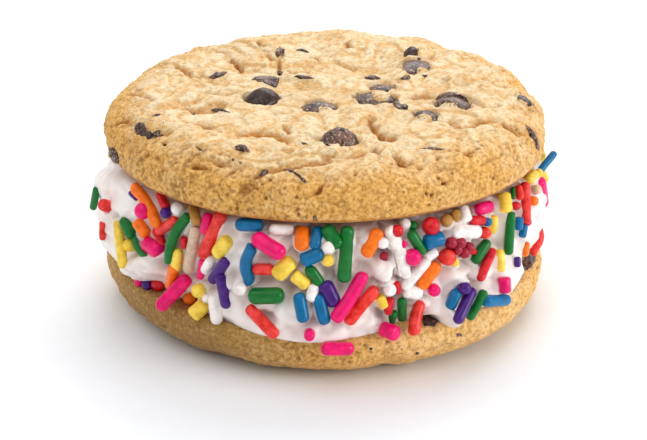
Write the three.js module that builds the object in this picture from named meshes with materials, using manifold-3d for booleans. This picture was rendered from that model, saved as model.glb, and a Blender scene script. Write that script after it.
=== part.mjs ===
// A cookie ice cream sandwich: a thick slab of vanilla ice cream, rolled in rainbow sprinkles, between
// two chocolate chip cookies. The lower cookie lies domed side down, so both flat sides face the ice cream.
//
// Millimetres, +Z up. The origin is the centre of the flat spot that the sandwich rests on.
// Bearings are degrees round +Z from +X, so -90 is the front.

import * as THREE from "three";
import { mergeVertices } from "three/addons/utils/BufferGeometryUtils.js";
import Module from "manifold-3d";

const wasm = await Module();
wasm.setup();

// Driving dimensions
const COOKIE_RADIUS = 35;
const BOTTOM_COOKIE_HEIGHT = 8.4;
const FILLING_HEIGHT = 18.3;
const TOP_COOKIE_HEIGHT = 7.8;

// A cookie in section: a flat base with a small corner, the widest ring just above it, and a dome
// that is level in the middle and rounds down over the outer part.
const CORNER = 1.0;
const WIDEST_AT = 1.5;
const SHOULDER = 0.3 * COOKIE_RADIUS;
const SHOULDER_POWER = 2.4; // 2 would be an ellipse, more is squarer
const RESTING_RADIUS = 17; // the bottom cookie's dome is flattened inside it, where it lies on the table
const RESTING_EDGE = 6; // width of the ring over which its own relief comes back
const TOP_MESH = { segments: 68, levelSteps: 16, tolerance: 0.07 };
const BOTTOM_MESH = { segments: 72, levelSteps: 10, tolerance: 0.06 };

// How far each cookie's outline is from a circle: waves round it, share of the radius, bearing of a crest.
// The bottom cookie is laid out dome up, as it bakes, so its bearings change sign when it is turned over.
const TOP_OUTLINE = [[2, 0.004, 65], [3, 0.008, 66], [4, 0.0065, 70]];
const BOTTOM_OUTLINE = [[2, 0.005, -137], [3, 0.016, -59], [4, 0.009, -71]];

// The baked surface: low lumps, and cracks that run between them
const LUMP_HEIGHT = 0.45;
const LONGEST_LUMP = 16;
const CRACK_DEPTH = 0.7;
const CRACK_WIDTH = 0.2; // in the units of the wave field, about 2 mm on the cookie
const BROKEN_SKIN = [-0.2, 0.4]; // the wave field's values from whole skin to cracked skin
const PRESSED = 0.35; // share of a lump's height that the bottom cookie's weight takes off

// The ice cream's side: bearing, height above the table, half width in degrees, half height, bulge
const FILLING_RADIUS = 34.5;
const FILLING_FOLDS = [
  [-95, 9.5, 18, 5.5, 3.7],
  [-69, 9, 6.5, 3, -2.2],
  [-44, 10, 15, 5, 2.6],
  [-122, 11, 9, 5, -1.2],
  [-178, 19, 16, 4, 1.9],
  [-172, 12, 18, 4, 1.8],
  [-14, 20, 12, 5, 0.5],
  [20, 13, 14, 5, 0.9],
  [52, 21, 13, 4, 1.1],
  [84, 12, 17, 5, 1.8],
  [112, 20, 12, 4, 1.2],
  [140, 12, 14, 5, 1.5],
];
const TUCKED_IN = 1.4; // how far the ice cream's top and bottom edges lie behind its middle
const FILLING_MESH = { segments: 56, sideSteps: 7, tolerance: 0.05 };

// Sprinkles: short rods of sugar paste, about half sunk in the ice cream
const SPRINKLE_ROWS = 4;
const SPRINKLES_IN_ROW = 32;
const SPRINKLE_RADIUS = [0.85, 1.15];
const SPRINKLE_LENGTH = [3.4, 7.6];
const SPRINKLE_SIDES = 5;
const SPRINKLE_CHAMFER = 0.45; // share of the radius
const SPRINKLE_PROUD = 0.25; // height of the rod's axis above the ice cream
const CLEAR_OF_COOKIES = 0.3;
const BARE_PATCH = { bearing: -92, halfWidth: 20, height: 11, halfHeight: 4, edge: 0.45 };

// Chocolate chips: bearing and distance from the axis, radius, length over width, turn in degrees,
// height over radius, share that is sunk. The ones on a cookie's shoulder or edge also have their own
// height above the flat base, and a lean away from the cookie's axis in degrees.
const CHIP_GAP = 0.3;
const CHIP_SEGMENTS = 8;
const TOP_CHIPS = [
  [-161, 10.6, 2.9, 1.05, 20, 1.25, 0.5],
  [-85, 21.2, 2.9, 1.08, 5, 1.3, 0.42],
  [-26, 8.1, 3.2, 1.1, 10, 0.55, 0.6],
  [-15, 20.4, 3.0, 1.1, -30, 0.8, 0.55],
  [-36, 18.7, 2.4, 1.1, 80, 0.7, 0.6],
  [-100, 6.8, 2.8, 1.1, 20, 0.6, 0.6],
  [50, 21.9, 1.7, 1.15, 80, 1.3, 0.35],
  [37, 17.9, 3.0, 1.2, 60, 0.45, 0.6],
  [-151, 31.0, 2.4, 1.1, 30, 0.8, 0.55, 6.9, 28],
  [-4, 31.8, 1.9, 1.3, -50, 0.7, 0.55, 6.5, 35],
  [12, 9.1, 2.1, 1.1, 0, 0.5, 0.6],
];
const BOTTOM_CHIPS = [
  [12, 34.0, 1.5, 1.35, -90, 1.0, 0.55, 0.9, 130],
  [-64, 34.3, 2.0, 1.3, -70, 0.8, 0.55, 3.6, 80],
  [-149, 33.6, 2.2, 1.2, -120, 0.8, 0.55, 4.6, 65],
];

const COLOURS = { crumb: 0xd8a760, vanilla: 0xf2ebe4, chocolate: 0x3b2620 };

const radians = THREE.MathUtils.degToRad;
const bell = (x, halfWidth) => Math.exp(-((x / halfWidth) ** 2));
const turnBetween = (a, b) => ((((a - b) % 360) + 540) % 360) - 180;

// Random draws from 0 to 1, the same on every run.
function seededDraws(seed) {
  const MULTIPLIER = 16807;
  const MODULUS = 2147483647;
  let state = seed;
  return () => {
    state = (state * MULTIPLIER) % MODULUS;
    return state / MODULUS;
  };
}

// A smooth field from about -1 to 1: waves that run every way, each shorter and lower than the last.
function waves(x, y, seed, longest) {
  const WAVES = 5;
  const SHRINK = 0.78;
  const TURN = 2.4; // radians from one wave's way to the next
  const SUM_SHARE = 0.45;
  let sum = 0;
  let share = 1;
  for (let k = 0; k < WAVES; k++) {
    const way = seed + TURN * k;
    const along = x * Math.cos(way) + y * Math.sin(way);
    sum += share * Math.sin((2 * Math.PI * along) / (longest * share) + seed * (k + 1));
    share *= SHRINK;
  }
  return SUM_SHARE * sum;
}

// Height of the low lumps above the smooth dome, at a place on the cookie.
function lumps(x, y, seed) {
  return LUMP_HEIGHT * waves(x, y, seed, LONGEST_LUMP);
}

// Height of the baked surface above the smooth dome: the lumps and the cracks between them.
function bakedRelief(x, y, seed) {
  const line = waves(x, y, seed + 7, 1.5 * LONGEST_LUMP);
  const broken = THREE.MathUtils.smoothstep(waves(x, y, seed + 3, LONGEST_LUMP), ...BROKEN_SKIN);
  return lumps(x, y, seed) - CRACK_DEPTH * broken * bell(line, CRACK_WIDTH);
}

// The cookie's radius at a bearing, as a share of the round one.
function outlineShare(bearing, outline) {
  const wave = ([count, share, crest]) => share * Math.cos(count * radians(bearing - crest));
  return outline.reduce((sum, row) => sum + wave(row), 1);
}

// Height of the smooth dome at a distance from the axis, above the cookie's flat base.
function domeHeight(distance, height) {
  const out = THREE.MathUtils.clamp((distance - COOKIE_RADIUS + SHOULDER) / SHOULDER, 0, 1);
  return WIDEST_AT + (height - WIDEST_AT) * (1 - out ** SHOULDER_POWER) ** (1 / SHOULDER_POWER);
}

// The cookie's section as a profile for a lathe, from the middle of the base to the middle of the dome.
function cookieProfile(height, levelSteps) {
  const BASE_RINGS = [0, 0.6];
  const CORNER_STEPS = 2;
  const SHOULDER_STEPS = 6;
  const inner = COOKIE_RADIUS - SHOULDER;
  const points = BASE_RINGS.map((share) => new THREE.Vector2(share * COOKIE_RADIUS, 0));
  for (let i = 0; i <= CORNER_STEPS; i++) {
    const angle = ((Math.PI / 2) * i) / CORNER_STEPS;
    points.push(
      new THREE.Vector2(COOKIE_RADIUS - CORNER * (1 - Math.sin(angle)), WIDEST_AT * (1 - Math.cos(angle))),
    );
  }
  for (let i = 1; i <= SHOULDER_STEPS; i++) {
    const angle = ((Math.PI / 2) * i) / SHOULDER_STEPS;
    const out = Math.cos(angle) ** (2 / SHOULDER_POWER);
    const up = Math.sin(angle) ** (2 / SHOULDER_POWER);
    points.push(new THREE.Vector2(inner + SHOULDER * out, WIDEST_AT + (height - WIDEST_AT) * up));
  }
  for (let i = levelSteps - 1; i >= 0; i--) {
    points.push(new THREE.Vector2((inner * i) / levelSteps, height));
  }
  return points;
}

// Runs a function on every vertex of a geometry, which changes the vertex in place.
function reshape(geometry, change) {
  const positions = geometry.getAttribute("position");
  const vertex = new THREE.Vector3();
  for (let i = 0; i < positions.count; i++) {
    change(vertex.fromBufferAttribute(positions, i));
    positions.setXYZ(i, vertex.x, vertex.y, vertex.z);
  }
  return geometry;
}

// A lathe's solid with its axis along +Z.
function turned(profile, segments) {
  return new THREE.LatheGeometry(profile, segments).rotateX(Math.PI / 2);
}

// A cookie with its flat base on z = 0. The relief grows from nothing at the base to its full height.
function cookieGeometry(height, outline, seed, restingRadius, mesh) {
  return reshape(turned(cookieProfile(height, mesh.levelSteps), mesh.segments), (v) => {
    const distance = Math.hypot(v.x, v.y);
    const baked = THREE.MathUtils.clamp((v.z - WIDEST_AT) / (height - WIDEST_AT), 0, 1);
    const edge = restingRadius + RESTING_EDGE;
    const loose = restingRadius ? THREE.MathUtils.smoothstep(distance, restingRadius, edge) : 1;
    const relief = bakedRelief(v.x, v.y, seed);
    const rise = restingRadius ? Math.min(relief - PRESSED * LUMP_HEIGHT, 0) : relief;
    const spread = outlineShare(THREE.MathUtils.radToDeg(Math.atan2(v.y, v.x)), outline);
    v.z += baked * loose * rise;
    v.x *= spread;
    v.y *= spread;
  });
}

// Distance from the axis to the ice cream's side, at a bearing and a height above the table.
function fillingRadius(bearing, z) {
  const middle = BOTTOM_COOKIE_HEIGHT + FILLING_HEIGHT / 2;
  const tucked = TUCKED_IN * (Math.abs(z - middle) / (FILLING_HEIGHT / 2)) ** 3;
  return FILLING_FOLDS.reduce(
    (radius, [at, height, halfWidth, halfHeight, bulge]) =>
      radius + bulge * bell(turnBetween(bearing, at), halfWidth) * bell(z - height, halfHeight),
    FILLING_RADIUS - tucked,
  );
}

// The bare slab of ice cream, with the folds of its side.
function fillingGeometry() {
  const { sideSteps, segments } = FILLING_MESH;
  const rings = Array.from({ length: sideSteps + 1 }, (_, i) => (FILLING_HEIGHT * i) / sideSteps);
  const profile = [
    new THREE.Vector2(0, rings[0]),
    ...rings.map((z) => new THREE.Vector2(FILLING_RADIUS, z)),
    new THREE.Vector2(0, rings[sideSteps]),
  ];
  const slab = turned(profile, segments).translate(0, 0, BOTTOM_COOKIE_HEIGHT);
  return reshape(slab, (v) => {
    if (Math.hypot(v.x, v.y) < 1) return;
    const bearing = Math.atan2(v.y, v.x);
    const radius = fillingRadius(THREE.MathUtils.radToDeg(bearing), v.z);
    v.x = radius * Math.cos(bearing);
    v.y = radius * Math.sin(bearing);
  });
}

// A rod with blunt ends, its axis along +Z and its middle at the origin.
function sprinkleGeometry(radius, length) {
  const end = length / 2;
  const shoulder = end - SPRINKLE_CHAMFER * radius;
  const profile = [[0, -end], [radius, -shoulder], [radius, shoulder], [0, end]];
  return turned(profile.map(([x, y]) => new THREE.Vector2(x, y)), SPRINKLE_SIDES);
}

// All sprinkles, in staggered rows round the ice cream, each moved a little off its place. The ones
// that would lie on the bare patch low at the front are left out.
function sprinkleGeometries() {
  const SHIFT = 0.7; // share of a place's width that a sprinkle may move
  const draw = seededDraws(41);
  const between = ([low, high], share) => low + (high - low) * share;
  const { bearing: bare, halfWidth, height: bareHeight, halfHeight, edge } = BARE_PATCH;
  const made = [];
  for (let i = 0; i < SPRINKLE_ROWS * SPRINKLES_IN_ROW; i++) {
    const row = i % SPRINKLE_ROWS;
    const length = between(SPRINKLE_LENGTH, draw());
    const radius = between(SPRINKLE_RADIUS, draw());
    const tilt = Math.PI * draw();
    const place = Math.floor(i / SPRINKLE_ROWS) + (row % 2) / 2 + SHIFT * (draw() - 0.5);
    const bearing = turnBetween((360 * place) / SPRINKLES_IN_ROW, 0);
    const level = (row + 0.5 + SHIFT * (draw() - 0.5)) / SPRINKLE_ROWS;
    const half = (length / 2) * Math.sin(tilt) + radius + CLEAR_OF_COOKIES;
    const above = THREE.MathUtils.clamp(level * FILLING_HEIGHT, half, FILLING_HEIGHT - half);
    const z = BOTTOM_COOKIE_HEIGHT + above;
    if (bell(bearing - bare, halfWidth) * bell(z - bareHeight, halfHeight) > edge) continue;
    const outward = new THREE.Vector3(Math.cos(radians(bearing)), Math.sin(radians(bearing)), 0);
    const along = new THREE.Vector3(-outward.y, outward.x, 0).multiplyScalar(Math.cos(tilt));
    along.z = Math.sin(tilt);
    const across = new THREE.Vector3().crossVectors(outward, along);
    const spot = outward.clone().multiplyScalar(fillingRadius(bearing, z) + SPRINKLE_PROUD);
    const matrix = new THREE.Matrix4().makeBasis(across, outward, along);
    matrix.setPosition(spot.x, spot.y, z);
    made.push(sprinkleGeometry(radius, length).applyMatrix4(matrix));
  }
  return made;
}

// A chip like a squat drop with its point out, sunk by a share of its height and grown by a margin.
function chipGeometry(chip, margin, surface) {
  const [bearing, distance, radius, stretch, turn, tall, sunk, level, lean = 0] = chip;
  const height = tall * radius;
  const DROP = [[0, 0], [0.85, 0.05], [1, 0.35], [0.6, 0.8], [0, 1]];
  const profile = DROP.map(([x, y]) => new THREE.Vector2(
    x && x * radius + margin,
    (y - sunk) * height + margin * (2 * y - 1),
  ));
  const x = distance * Math.cos(radians(bearing));
  const y = distance * Math.sin(radians(bearing));
  return turned(profile, CHIP_SEGMENTS)
    .scale(stretch, 1 / stretch, 1)
    .rotateZ(radians(turn - (lean && bearing)))
    .rotateY(radians(lean))
    .rotateZ(radians(lean && bearing))
    .translate(x, y, level ?? surface(x, y));
}

// A closed geometry as a solid that can be joined and cut.
function solidFrom(geometry) {
  const bare = geometry.clone();
  bare.deleteAttribute("normal");
  bare.deleteAttribute("uv");
  const merged = mergeVertices(bare, 1e-4);
  return new wasm.Manifold(
    new wasm.Mesh({
      numProp: 3,
      vertProperties: merged.getAttribute("position").array,
      triVerts: new Uint32Array(merged.index.array),
    }),
  );
}

// The largest body of a solid, without loose scraps and with sealed hollows filled.
function wholeBody(solid) {
  return solid.decompose().reduce((best, body) => (body.volume() > best.volume() ? body : best));
}

function geometryFrom(solid) {
  const mesh = solid.getMesh();
  const geometry = new THREE.BufferGeometry();
  geometry.setAttribute("position", new THREE.BufferAttribute(mesh.vertProperties, 3));
  geometry.setIndex(new THREE.BufferAttribute(mesh.triVerts, 1));
  geometry.computeVertexNormals();
  return geometry;
}

function meshOf(name, geometry, color, roughness) {
  const mesh = new THREE.Mesh(geometry, new THREE.MeshStandardMaterial({ color, roughness, metalness: 0 }));
  mesh.name = name;
  return mesh;
}

// A cookie and its chips as a group with the cookie's flat base on z = 0 and its dome up.
function cookieWithChips({ name, height, outline, seed, restingRadius, chips, mesh }) {
  const group = new THREE.Group();
  const surface = (x, y) => domeHeight(Math.hypot(x, y), height) + lumps(x, y, seed);
  let cookie = solidFrom(cookieGeometry(height, outline, seed, restingRadius, mesh));
  chips.forEach((chip, i) => {
    cookie = cookie.subtract(solidFrom(chipGeometry(chip, CHIP_GAP, surface)));
    group.add(meshOf(`${name}_chip_${i + 1}`, chipGeometry(chip, 0, surface), COLOURS.chocolate, 0.45));
  });
  const whole = wholeBody(cookie.simplify(mesh.tolerance));
  group.add(meshOf(`${name}_cookie`, geometryFrom(whole), COLOURS.crumb, 0.9));
  return group;
}

function fillingMesh() {
  const slab = solidFrom(fillingGeometry());
  const fused = wasm.Manifold.union([slab, ...sprinkleGeometries().map(solidFrom)]);
  const whole = wholeBody(fused.simplify(FILLING_MESH.tolerance));
  return meshOf("ice_cream", geometryFrom(whole), COLOURS.vanilla, 0.6);
}

const bottomCookie = cookieWithChips({
  name: "bottom",
  height: BOTTOM_COOKIE_HEIGHT,
  outline: BOTTOM_OUTLINE,
  seed: 2.1,
  restingRadius: RESTING_RADIUS,
  chips: BOTTOM_CHIPS,
  mesh: BOTTOM_MESH,
});
bottomCookie.rotation.x = Math.PI;
bottomCookie.position.z = BOTTOM_COOKIE_HEIGHT;

const topCookie = cookieWithChips({
  name: "top",
  height: TOP_COOKIE_HEIGHT,
  outline: TOP_OUTLINE,
  seed: 0.6,
  restingRadius: 0,
  chips: TOP_CHIPS,
  mesh: TOP_MESH,
});
topCookie.position.z = BOTTOM_COOKIE_HEIGHT + FILLING_HEIGHT;

const sandwich = new THREE.Group();
sandwich.add(bottomCookie, fillingMesh(), topCookie);

export default sandwich;
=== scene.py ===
# %% [markdown]
# # An ice cream sandwich in rainbow sprinkles
# Two chocolate chip cookies hold a thick slab of vanilla ice cream, whose side is covered in sugar
# sprinkles. The CAD model gives the frame: its solids set where each layer starts and stops. Here every
# layer gets its real surface, made as mesh, so that the look is in the shape and not only in the shading.

# %% Load the frame
import math

import bpy
import numpy as np
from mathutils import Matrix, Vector, noise
from mathutils.bvhtree import BVHTree


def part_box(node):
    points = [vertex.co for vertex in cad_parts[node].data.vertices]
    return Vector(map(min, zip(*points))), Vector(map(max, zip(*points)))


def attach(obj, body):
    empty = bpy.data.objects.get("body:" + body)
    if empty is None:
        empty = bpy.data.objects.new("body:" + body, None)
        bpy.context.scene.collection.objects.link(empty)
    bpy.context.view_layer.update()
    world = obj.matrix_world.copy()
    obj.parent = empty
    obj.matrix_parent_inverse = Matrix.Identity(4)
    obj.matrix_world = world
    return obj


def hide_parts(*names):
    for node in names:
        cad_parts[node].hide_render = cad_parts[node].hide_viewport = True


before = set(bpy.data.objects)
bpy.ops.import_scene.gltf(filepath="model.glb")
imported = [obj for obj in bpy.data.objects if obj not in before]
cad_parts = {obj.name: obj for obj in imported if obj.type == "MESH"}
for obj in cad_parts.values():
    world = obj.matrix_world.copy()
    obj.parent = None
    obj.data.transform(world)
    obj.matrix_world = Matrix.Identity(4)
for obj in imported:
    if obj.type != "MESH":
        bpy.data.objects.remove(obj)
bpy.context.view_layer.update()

# %% [markdown]
# ## Sizes
# All sizes are in millimetres, and they become metres only when a mesh is made. The ice cream's floor
# and roof are read from the frame, and the cookies meet it there, so the layers keep to the solids. A
# cookie in section has a flat base, a small corner, a widest ring just above it and a level dome with a
# rounded shoulder.

# %% Sizes
MM = 0.001
COOKIE_RADIUS = 35
CORNER = 1.0
WIDEST_AT = 1.5
SHOULDER = 0.3 * COOKIE_RADIUS
SHOULDER_POWER = 2.4
RESTING_RADIUS = 17
LUMP_HEIGHT = 0.45
LONGEST_LUMP = 16
TOP_SEED = 0.6
BOTTOM_SEED = 2.1
# waves round the outline: how many, how high as a share of the radius, and the bearing of a crest
TOP_OUTLINE = [(2, 0.004, 65), (3, 0.008, 66), (4, 0.0065, 70)]
BOTTOM_OUTLINE = [(2, 0.005, -137), (3, 0.016, -59), (4, 0.009, -71)]

ICE_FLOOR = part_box("ice_cream")[0][2] / MM
ICE_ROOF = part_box("ice_cream")[1][2] / MM
TOP_HEIGHT = 7.8
BOTTOM_HEIGHT = ICE_FLOOR
print(f"ice cream from {ICE_FLOOR:.1f} to {ICE_ROOF:.1f} mm, cookies {2 * COOKIE_RADIUS} mm across")

# %% [markdown]
# ## Helpers
# Three small things are used all through: a way to add a shader node with its settings and links, a way
# to turn the sRGB colours that people read into the linear ones that Blender mixes, and a way to put
# arrays of points and faces into a mesh. Noise comes from Blender's own noise module, one value a point.

# %% Nodes and colours
def linear(code):
    """An sRGB hex colour such as #D8A760 as a linear colour with alpha."""
    parts = [int(code[i:i + 2], 16) / 255 for i in (1, 3, 5)]
    return [p / 12.92 if p <= 0.04045 else ((p + 0.055) / 1.055) ** 2.4 for p in parts] + [1]


def add(tree, kind, inputs=None, **settings):
    """Adds a shader node. An input is a value, a colour code, or another node's output socket."""
    made = tree.nodes.new("ShaderNode" + kind)
    for name, value in settings.items():
        setattr(made, name, value)
    for name, value in (inputs or {}).items():
        if isinstance(value, bpy.types.NodeSocket):
            tree.links.new(value, made.inputs[name])
        else:
            made.inputs[name].default_value = linear(value) if isinstance(value, str) else value
    return made


def material(name):
    """A new material, its empty node tree, and the place on the object that its patterns are laid out by."""
    made = bpy.data.materials.new(name)
    made.use_nodes = True
    made.node_tree.nodes.clear()
    print("material", name)
    return made, made.node_tree, add(made.node_tree, "TexCoord").outputs["Object"]


def blend(tree, share, first, second):
    """The colour between two others: share 0 gives the first."""
    return add(tree, "Mix", {0: share, 6: first, 7: second}, data_type="RGBA").outputs[2]


def ramp(tree, value, low, high):
    """A share from 0 to 1 as the value goes from low to high."""
    limits = {"Value": value, "From Min": low, "From Max": high}
    return add(tree, "MapRange", limits, interpolation_type="SMOOTHSTEP").outputs[0]


def times(tree, value, share):
    """A value multiplied by another, as a node's output socket."""
    return add(tree, "Math", {0: value, 1: share}, operation="MULTIPLY").outputs[0]


# %% Meshes from arrays
def piece(name, points, faces, finish, replaced=(), values=None):
    """A smooth piece from points in mm and faces, riding on the root, with a value for each point."""
    mesh = bpy.data.meshes.new(name)
    mesh.from_pydata((np.asarray(points) * MM).tolist(), [], faces)
    mesh.polygons.foreach_set("use_smooth", [True] * len(mesh.polygons))
    for key, data in (values or {}).items():
        kind, field = ("FLOAT_COLOR", "color") if np.ndim(data) == 2 else ("FLOAT", "value")
        mesh.attributes.new(key, kind, "POINT").data.foreach_set(field, np.ravel(data).astype(np.float32))
    mesh.materials.append(finish)
    made = bpy.data.objects.new(name, mesh)
    bpy.context.collection.objects.link(made)
    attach(made, "root")
    if replaced:
        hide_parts(*replaced)
    triangles = sum(len(face) - 2 for face in faces)
    print(f"{name}: {len(points)} points, {triangles} triangles")


def grain(points, size, shift=0):
    """Smooth noise from about -1 to 1 at each point, with features of a size in mm."""
    return np.array([noise.noise(p) for p in (np.asarray(points) / size + shift).tolist()])


def pebbles(points, size, shift=0):
    """Rounded lumps with narrow valleys between them, from -0.6 in a valley to 0.4 on a lump."""
    return np.minimum(np.abs(grain(points, size, shift)) * 2.2, 1) ** 0.7 - 0.6


def ledges(points, size, shift=0):
    """Flat lobes with winding steps between them, each 1 high, and how near below a step, from 0 to 1."""
    level = 2.4 * grain(points, size, shift)
    share = level - np.floor(level)
    brink = smooth(share, 0.1, 0.42) * (1 - smooth(share, 0.45, 0.58))
    return np.floor(level) + smooth(share, 0.4, 0.6) + 0.5, brink


def cells(points, size, shift=0):
    """Distance to the nearest of many scattered seeds, in shares of the seeds' spacing."""
    return np.array([noise.voronoi(p)[0][0] for p in (np.asarray(points) / size + shift).tolist()])


def smooth(value, low, high):
    """A share from 0 to 1 as the value goes from low to high, with no kink."""
    t = np.clip((value - low) / (high - low), 0, 1)
    return t * t * (3 - 2 * t)


def bell(x, half_width):
    """A share that is 1 at 0 and fades to both sides."""
    return np.exp(-((x / half_width) ** 2))


def degrees_between(a, b):
    """The turn from bearing b to bearing a, from -180 to 180."""
    return (a - b + 540) % 360 - 180


def bearing_of(points):
    """The bearing of each point in degrees, seen from above: 0 is right and -90 is toward the viewer."""
    return np.degrees(np.arctan2(points[:, 1], points[:, 0]))


def at_side(bearing, side):
    """From 0 to 1, how near a bearing is to the middle of a side, given with its half width in degrees."""
    return bell(degrees_between(bearing, side[0]), side[1])


def scattered(points, size, shifts):
    """A different push in x, y and z at each point, or in x and y if only two shifts are given."""
    return np.stack([grain(points, size, shift) for shift in shifts], 1)


def seeded(seed):
    """Random draws from 0 to 1, the same on every run."""
    state = seed
    while True:
        state = state * 16807 % 2147483647
        yield state / 2147483647


# %% [markdown]
# ## The camera
# The camera comes first, because what shows on the front is laid out along its lines of sight. It looks
# down on the sandwich from the front with a long lens, as a product photographer would. `sight` gives
# the line through a point of a view 647 wide and 440 high.

# %% Camera and lines of sight
VIEW_WIDTH, VIEW_HEIGHT = 647, 440
SENSOR_WIDTH = 36
FOCAL_LENGTH = 2242  # in points of the view
CAMERA_DISTANCE = 368.4
CAMERA_HEIGHT_ANGLE = 25.5
AIM = Vector((-0.5, 0, 12.1))

above = math.radians(CAMERA_HEIGHT_ANGLE)
camera_place = Vector((0, -CAMERA_DISTANCE * math.cos(above), CAMERA_DISTANCE * math.sin(above)))
camera_turn = (AIM - camera_place).to_track_quat("-Z", "Y")
lens = bpy.data.cameras.new("camera")
lens.lens = FOCAL_LENGTH / VIEW_WIDTH * SENSOR_WIDTH
lens.sensor_width = SENSOR_WIDTH
lens.sensor_fit = "HORIZONTAL"
lens.clip_start = 0.01
camera = bpy.data.objects.new("camera", lens)
camera.rotation_mode = "QUATERNION"
camera.rotation_quaternion = camera_turn
camera.location = camera_place * MM
bpy.context.collection.objects.link(camera)
bpy.context.scene.camera = camera


def sight(u, v):
    """The direction of the line of sight through a point of the view."""
    across = (u - VIEW_WIDTH / 2) / FOCAL_LENGTH
    up = (VIEW_HEIGHT / 2 - v) / FOCAL_LENGTH
    return (camera_turn @ Vector((across, up, -1))).normalized()


def on_view(points):
    """Where points in mm appear on the view, as two arrays."""
    seen = (np.asarray(points) - np.array(camera_place)) @ np.array(camera_turn.to_matrix())
    scale = FOCAL_LENGTH / -seen[:, 2]
    return VIEW_WIDTH / 2 + seen[:, 0] * scale, VIEW_HEIGHT / 2 - seen[:, 1] * scale


def inside_by(u, v, outline):
    """How far inside a closed outline on the view each place is; negative is outside."""
    gap, inside = np.full(len(u), 1e9), np.zeros(len(u), bool)
    for (au, av), (bu, bv) in zip(outline, outline[1:] + outline[:1]):
        ru, rv = bu - au, bv - av
        share = np.clip(((u - au) * ru + (v - av) * rv) / (ru * ru + rv * rv), 0, 1)
        gap = np.minimum(gap, np.hypot(u - au - share * ru, v - av - share * rv))
        inside ^= ((av > v) != (bv > v)) & (u < au + ru * (v - av) / (rv or 1e-9))
    return np.where(inside, gap, -gap)


def mm_per_point(place):
    """How many millimetres one point of the view covers at a place."""
    return (Vector(place) - camera_place).length / FOCAL_LENGTH


points_a_mm = 1 / mm_per_point((0, -COOKIE_RADIUS, 10))
print(f"lens {lens.lens:.0f} mm, {points_a_mm:.2f} view points a mm at the front")

# %% [markdown]
# ## The shape of a cookie
# A cookie is nearly round, so its points lie on rings from the middle of the dome, over the shoulder and
# round under the edge. Rings of equal spacing with as many points as their length asks for give
# triangles of one size everywhere, which a lathe or a grid can't. Only the flat base, which the ice cream
# hides, has few and wide ones. The low lumps are those of the solid, from the same few waves.

# %% Cookie section, outline and lumps
def waves(x, y, seed):
    """A few waves, each turned from the last, shorter and lower."""
    WAVES, TURNED, SHORTER, LEVEL = 5, 2.4, 0.78, 0.45
    total, share = 0, 1
    for k in range(WAVES):
        way = seed + TURNED * k
        along = x * math.cos(way) + y * math.sin(way)
        total = total + share * np.sin(2 * math.pi * along / (LONGEST_LUMP * share) + seed * (k + 1))
        share *= SHORTER
    return LEVEL * total


def outline_share(points, outline):
    """The cookie's radius at the bearing of each point, as a share of the round one."""
    bearing = np.arctan2(points[:, 1], points[:, 0])
    return 1 + sum(s * np.cos(n * (bearing - math.radians(crest))) for n, s, crest in outline)


def dome_height(distance, height):
    """The dome's height at a distance from its axis."""
    out = np.clip((distance - COOKIE_RADIUS + SHOULDER) / SHOULDER, 0, 1)
    return WIDEST_AT + (height - WIDEST_AT) * (1 - out ** SHOULDER_POWER) ** (1 / SHOULDER_POWER)


def section(height, spacing, margin):
    """Rings from the middle of the dome to `margin` under the edge, then a few wide ones: distance, z."""
    WIDE_RINGS = (0.8, 0.5, 0.2, 0)
    inner = COOKIE_RADIUS - SHOULDER
    turn = np.radians(np.linspace(90, 0, 90))
    shoulder = np.stack([
        inner + SHOULDER * np.cos(turn) ** (2 / SHOULDER_POWER),
        WIDEST_AT + (height - WIDEST_AT) * np.sin(turn) ** (2 / SHOULDER_POWER),
    ], 1)
    corner = np.stack([
        COOKIE_RADIUS - CORNER * (1 - np.sin(turn)),
        WIDEST_AT * (1 - np.cos(turn)),
    ], 1)
    line = np.concatenate([[[0, height]], shoulder, corner[1:], [[COOKIE_RADIUS - CORNER - margin, 0]]])
    length = np.concatenate([[0], np.cumsum(np.hypot(*np.diff(line, axis=0).T))])
    steps = np.linspace(0, length[-1], round(length[-1] / spacing))
    fine = np.stack([np.interp(steps, length, line[:, 0]), np.interp(steps, length, line[:, 1])], 1)
    wide = [[share * fine[-1, 0], 0] for share in WIDE_RINGS]
    return np.concatenate([fine, wide])


def stitched(counts):
    """Triangles between rings of the given numbers of points, outside up; a count of 1 is a pole."""
    faces, first = [], 0
    for count, after in zip(counts, counts[1:]):
        second, i, j = first + count, 0, 0
        while i < count or j < after:
            if j >= after or (i < count and i * after <= j * count):
                if count > 1:
                    faces.append((first + i, second + j % after, first + (i + 1) % count))
                i += 1
            else:
                if after > 1:
                    faces.append((first + i % count, second + j, second + (j + 1) % after))
                j += 1
        first = second
    return faces


def cookie_points(rings, spacing):
    """Points, outward directions and faces of a round cookie from the rings of its section."""
    HIDDEN_SIDES, HIDDEN_INSIDE = 40, 0.9 * COOKIE_RADIUS
    counts = [1 if d < spacing / 2 else max(6, round(2 * math.pi * d / spacing)) for d, _ in rings]
    counts = [min(c, HIDDEN_SIDES) if z == 0 and d < HIDDEN_INSIDE else c for c, (d, z) in zip(counts, rings)]
    along = np.gradient(rings, axis=0)
    along /= np.linalg.norm(along, axis=1)[:, None]
    points, normals = [], []
    for (d, z), (run, rise), count in zip(rings, along, counts):
        angle = 2 * math.pi * np.arange(count) / count
        points.append(np.stack([d * np.cos(angle), d * np.sin(angle), np.full(count, z)], 1))
        normals.append(np.stack([-rise * np.cos(angle), -rise * np.sin(angle), np.full(count, run)], 1))
    return np.concatenate(points), np.concatenate(normals), stitched(counts)
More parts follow.
